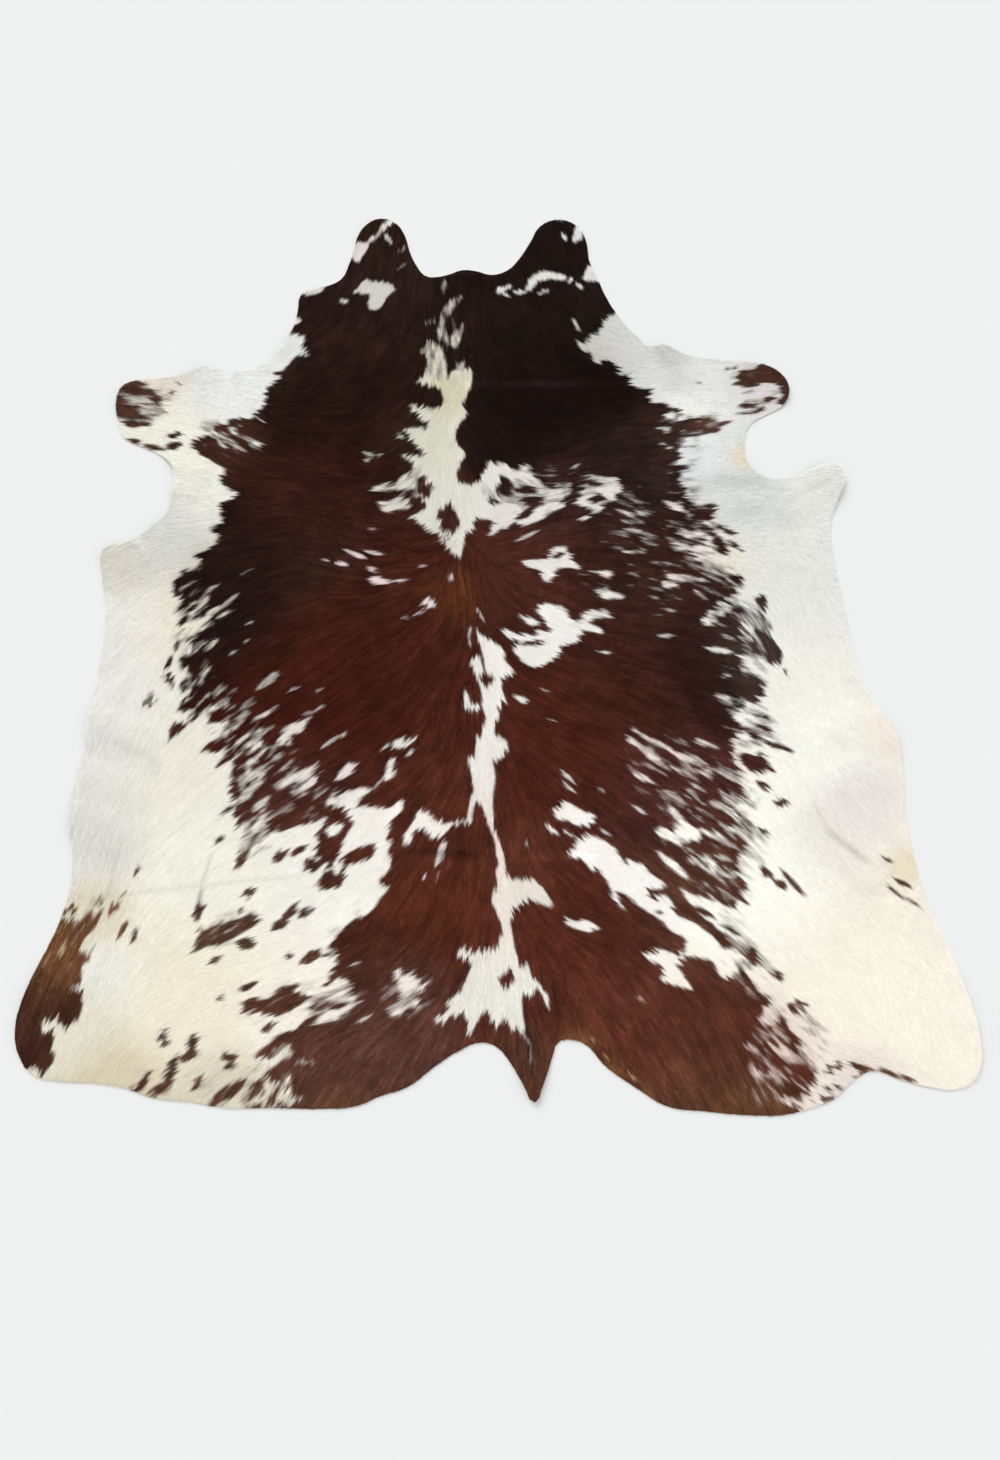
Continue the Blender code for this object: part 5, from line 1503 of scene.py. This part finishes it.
        # A triangle of radius 1 is 1.5 long and the root of 3 wide. Scaled to a lock, it stands on its root.
        triangle = node("GeometryNodeMeshCircle", {"fill_type": "NGON"}, Vertices=3, Radius=1.0)
        long = node("ShaderNodeMath", divide, in_0=given["Hair Length"], in_1=1.5)
        wide = node("ShaderNodeMath", divide, in_0=given["Lock Width"], in_1=math.sqrt(3))
        back = node("ShaderNodeMath", divide, in_0=given["Hair Length"], in_1=3.0)
        size = node("ShaderNodeCombineXYZ", X=long.outputs[0], Y=wide.outputs[0], Z=1.0)
        shift = node("ShaderNodeCombineXYZ", X=back.outputs[0])
        lock = node("GeometryNodeTransform", Geometry=triangle.outputs["Mesh"], Translation=shift.outputs[0],
                    Scale=size.outputs[0])
        place = node("ShaderNodeSeparateXYZ", Vector=node("GeometryNodeInputPosition").outputs[0])
        share = node("ShaderNodeMath", divide, in_0=place.outputs["X"], in_1=given["Hair Length"])
        along = node("GeometryNodeStoreNamedAttribute", {"data_type": "FLOAT", "domain": "POINT"},
                     Geometry=lock.outputs["Geometry"], Name=ALONG, Value=share.outputs[0])

        # Each root turns and shortens its own lock, with a chance roll and length.
        turn = node("GeometryNodeInputNamedAttribute", {"data_type": "FLOAT_VECTOR"}, Name=TURN)
        number, seed = {"data_type": "FLOAT"}, given["Seed"]
        chance = node("FunctionNodeRandomValue", number, Min=-1.0, Max=1.0, Seed=seed)
        roll = node("ShaderNodeMath", multiply, in_0=chance.outputs[1], in_1=given["Roll"])
        rolled = node("ShaderNodeCombineXYZ", X=roll.outputs[0])
        pose = node("ShaderNodeVectorMath", {"operation": "ADD"}, in_0=turn.outputs[0],
                    in_1=rolled.outputs[0])
        spin = node("FunctionNodeEulerToRotation", Euler=pose.outputs[0])
        kept = node("GeometryNodeInputNamedAttribute", number, Name=KEPT)
        longer = node("FunctionNodeRandomValue", number, Min=self.shortest, Max=self.longest, Seed=seed)
        final = node("ShaderNodeMath", multiply, in_0=kept.outputs[0], in_1=longer.outputs[1])
        grown = node("ShaderNodeCombineXYZ", X=final.outputs[0], Y=1.0, Z=1.0)
        planted = node("GeometryNodeInstanceOnPoints", Points=given["Geometry"],
                       Instance=along.outputs["Geometry"], Rotation=spin.outputs[0], Scale=grown.outputs[0])
        real = node("GeometryNodeRealizeInstances", Geometry=planted.outputs[0])
        dressed = node("GeometryNodeSetMaterial", Geometry=real.outputs[0], Material=given["Finish"])
        tree.links.new(dressed.outputs[0], tree.nodes.new("NodeGroupOutput").inputs[0])
        return tree

    def _grow(self, name: str, mesh: bpy.types.Mesh, tree: bpy.types.NodeTree, **inputs) -> bpy.types.Object:
        """Plants a lock on every point of a mesh.

        Args:
            name: The name of what is made.
            mesh: The points.
            tree: The node tree that plants the locks.
            **inputs: Its inputs by name, with underscores for spaces.

        Returns:
            The locks, a plain mesh with a flat map as seen from above, which fills its own box.
        """
        planted = add_object(mesh.name, mesh)
        modifier = planted.modifiers.new("locks", "NODES")
        modifier.node_group = tree
        sockets = {item.name: item.identifier for item in tree.interface.items_tree if item.in_out == "INPUT"}
        for label, value in inputs.items():
            modifier[sockets[label.replace("_", " ")]] = value
        grown = bpy.data.meshes.new_from_object(planted.evaluated_get(bpy.context.evaluated_depsgraph_get()))
        bpy.data.objects.remove(planted, do_unlink=True)
        grown.name = name
        for label in (TURN, KEPT):
            if label in grown.attributes:
                grown.attributes.remove(grown.attributes[label])
        place, margin = point_places(grown)[:, :2], 0.01  # of the map, left free at its sides
        low, high = place.min(0), place.max(0)
        lay_out(grown, margin + (1 - 2 * margin) * (place - low) / (high - low))
        return add_object(name, grown)

    def _band(self, name: str, roots: np.ndarray, tree: bpy.types.NodeTree, hair: bpy.types.Material,
              seed: int) -> bpy.types.Object:
        """Makes one band of locks.

        Args:
            name: The band's name.
            roots: Its roots, in the hide's centimetres.
            tree: The node tree that plants the locks.
            hair: Their material.
            seed: The seed of their chance turns and lengths.

        Returns:
            The band, a plain mesh.
        """
        fleece, way = self.fleece, self._ways(roots)
        kept = self._kept(roots, way)
        seen = roots + way * (self.read_at * kept * self.length / CM)[:, None]
        brown = fleece.fine.read(fleece.brown, seen)
        chance = fleece.rng.normal(size=len(roots)) * self.mixed
        brown = (brown + chance * brown * (1 - brown)).clip(0, 1)
        mesh = bpy.data.meshes.new(name + "_roots")
        mesh.vertices.add(len(roots))
        places = np.column_stack([to_row(roots), self.leather.height(roots) - self.sunk])
        mesh.vertices.foreach_set("co", places.astype(np.float32).ravel())
        add_values(mesh, COAT, "FLOAT_COLOR", "color", fleece.colours(roots, brown, self.vary))
        add_values(mesh, TURN, "FLOAT_VECTOR", "vector", self._turns(roots, way))
        add_values(mesh, KEPT, "FLOAT", "value", kept)
        return self._grow(name, mesh, tree, Hair_Length=self.length, Lock_Width=self.width, Roll=self.roll,
                          Seed=seed, Finish=hair)

    def build(self, hair: bpy.types.Material) -> list[bpy.types.Object]:
        """Makes all bands.

        Args:
            hair: The locks' material.

        Returns:
            The bands from the head to the hem.
        """
        tree = self._tree()
        parts = zip(self.bands, np.array_split(self._roots(), len(self.bands)))
        made = [self._band(name, roots, tree, hair, SEED + k) for k, (name, roots) in enumerate(parts)]
        bpy.data.node_groups.remove(tree)
        return made


class Lamp(NamedTuple):
    """A soft lamp, with its angle from overhead, its turn and its spread in degrees."""

    name: str
    tilt: float
    turn: float
    spread: float
    power: float


@dataclass
class Studio:
    """The camera, a pale floor and soft light."""

    eye: tuple[float, float, float] = (0.008, -0.904, 2.170)
    pitch: float = 16.0  # degrees from straight down
    yaw: float = -4.0
    lens: float = 24.66
    sensor: float = 36.0
    floor_size: float = 60.0
    floor_drop: float = 0.4 * MM
    sky: float = 0.69
    sky_colour: tuple[float, ...] = (0.98, 1.0, 0.99, 1.0)  # linear, as a lamp's light is
    lamps: tuple[Lamp, ...] = (Lamp("key", 48.0, 205.0, 50.0, 2.02), Lamp("fill", 35.0, 60.0, 90.0, 0.79))

    def _floor(self) -> None:
        """Lays the floor, a little under the hide."""
        half, z = self.floor_size / 2, -self.floor_drop
        ground = bpy.data.meshes.new("floor")
        ground.from_pydata([(x * half, y * half, z) for x, y in ((-1, -1), (1, -1), (1, 1), (-1, 1))], [],
                           [(0, 1, 2, 3)])
        ground.materials.append(FloorFinish().material())
        add_object("floor", ground)

    def build(self) -> None:
        """Sets the camera, floor, lamps and world."""
        scene = bpy.context.scene
        camera = add_object("camera", bpy.data.cameras.new("camera"))
        camera.data.lens, camera.data.sensor_width, camera.data.sensor_fit = self.lens, self.sensor, "AUTO"
        camera.location = self.eye
        camera.rotation_euler = (math.radians(self.pitch), 0.0, math.radians(self.yaw))
        scene.camera = camera
        self._floor()
        for given in self.lamps:
            lamp = add_object(given.name, bpy.data.lights.new(given.name, "SUN"))
            lamp.data.energy, lamp.data.angle = given.power, math.radians(given.spread)
            lamp.rotation_euler = (math.radians(given.tilt), 0.0, math.radians(given.turn))
        world = bpy.data.worlds.new("studio")
        world.use_nodes = True
        background = world.node_tree.nodes["Background"]
        background.inputs["Color"].default_value = self.sky_colour
        background.inputs["Strength"].default_value = self.sky
        scene.world = world
        scene.view_settings.view_transform = "Standard"


def main() -> None:
    """Builds the rug's pieces in order and sets them in the frame."""
    logging.basicConfig(level=logging.INFO, format="%(name)s: %(message)s")
    fleece = Fleece()
    leather = Leather(fleece)
    sheet = leather.build(SkinFinish().material(), SuedeFinish().material())
    bands = Coat(fleece, leather).build(HairFinish().material())
    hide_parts("hide")
    for piece in (sheet, *bands):
        log.info("%s: %d faces", piece.name, len(piece.data.polygons))
        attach(piece, "root")
    Studio().build()


if __name__ == "__main__":
    main()
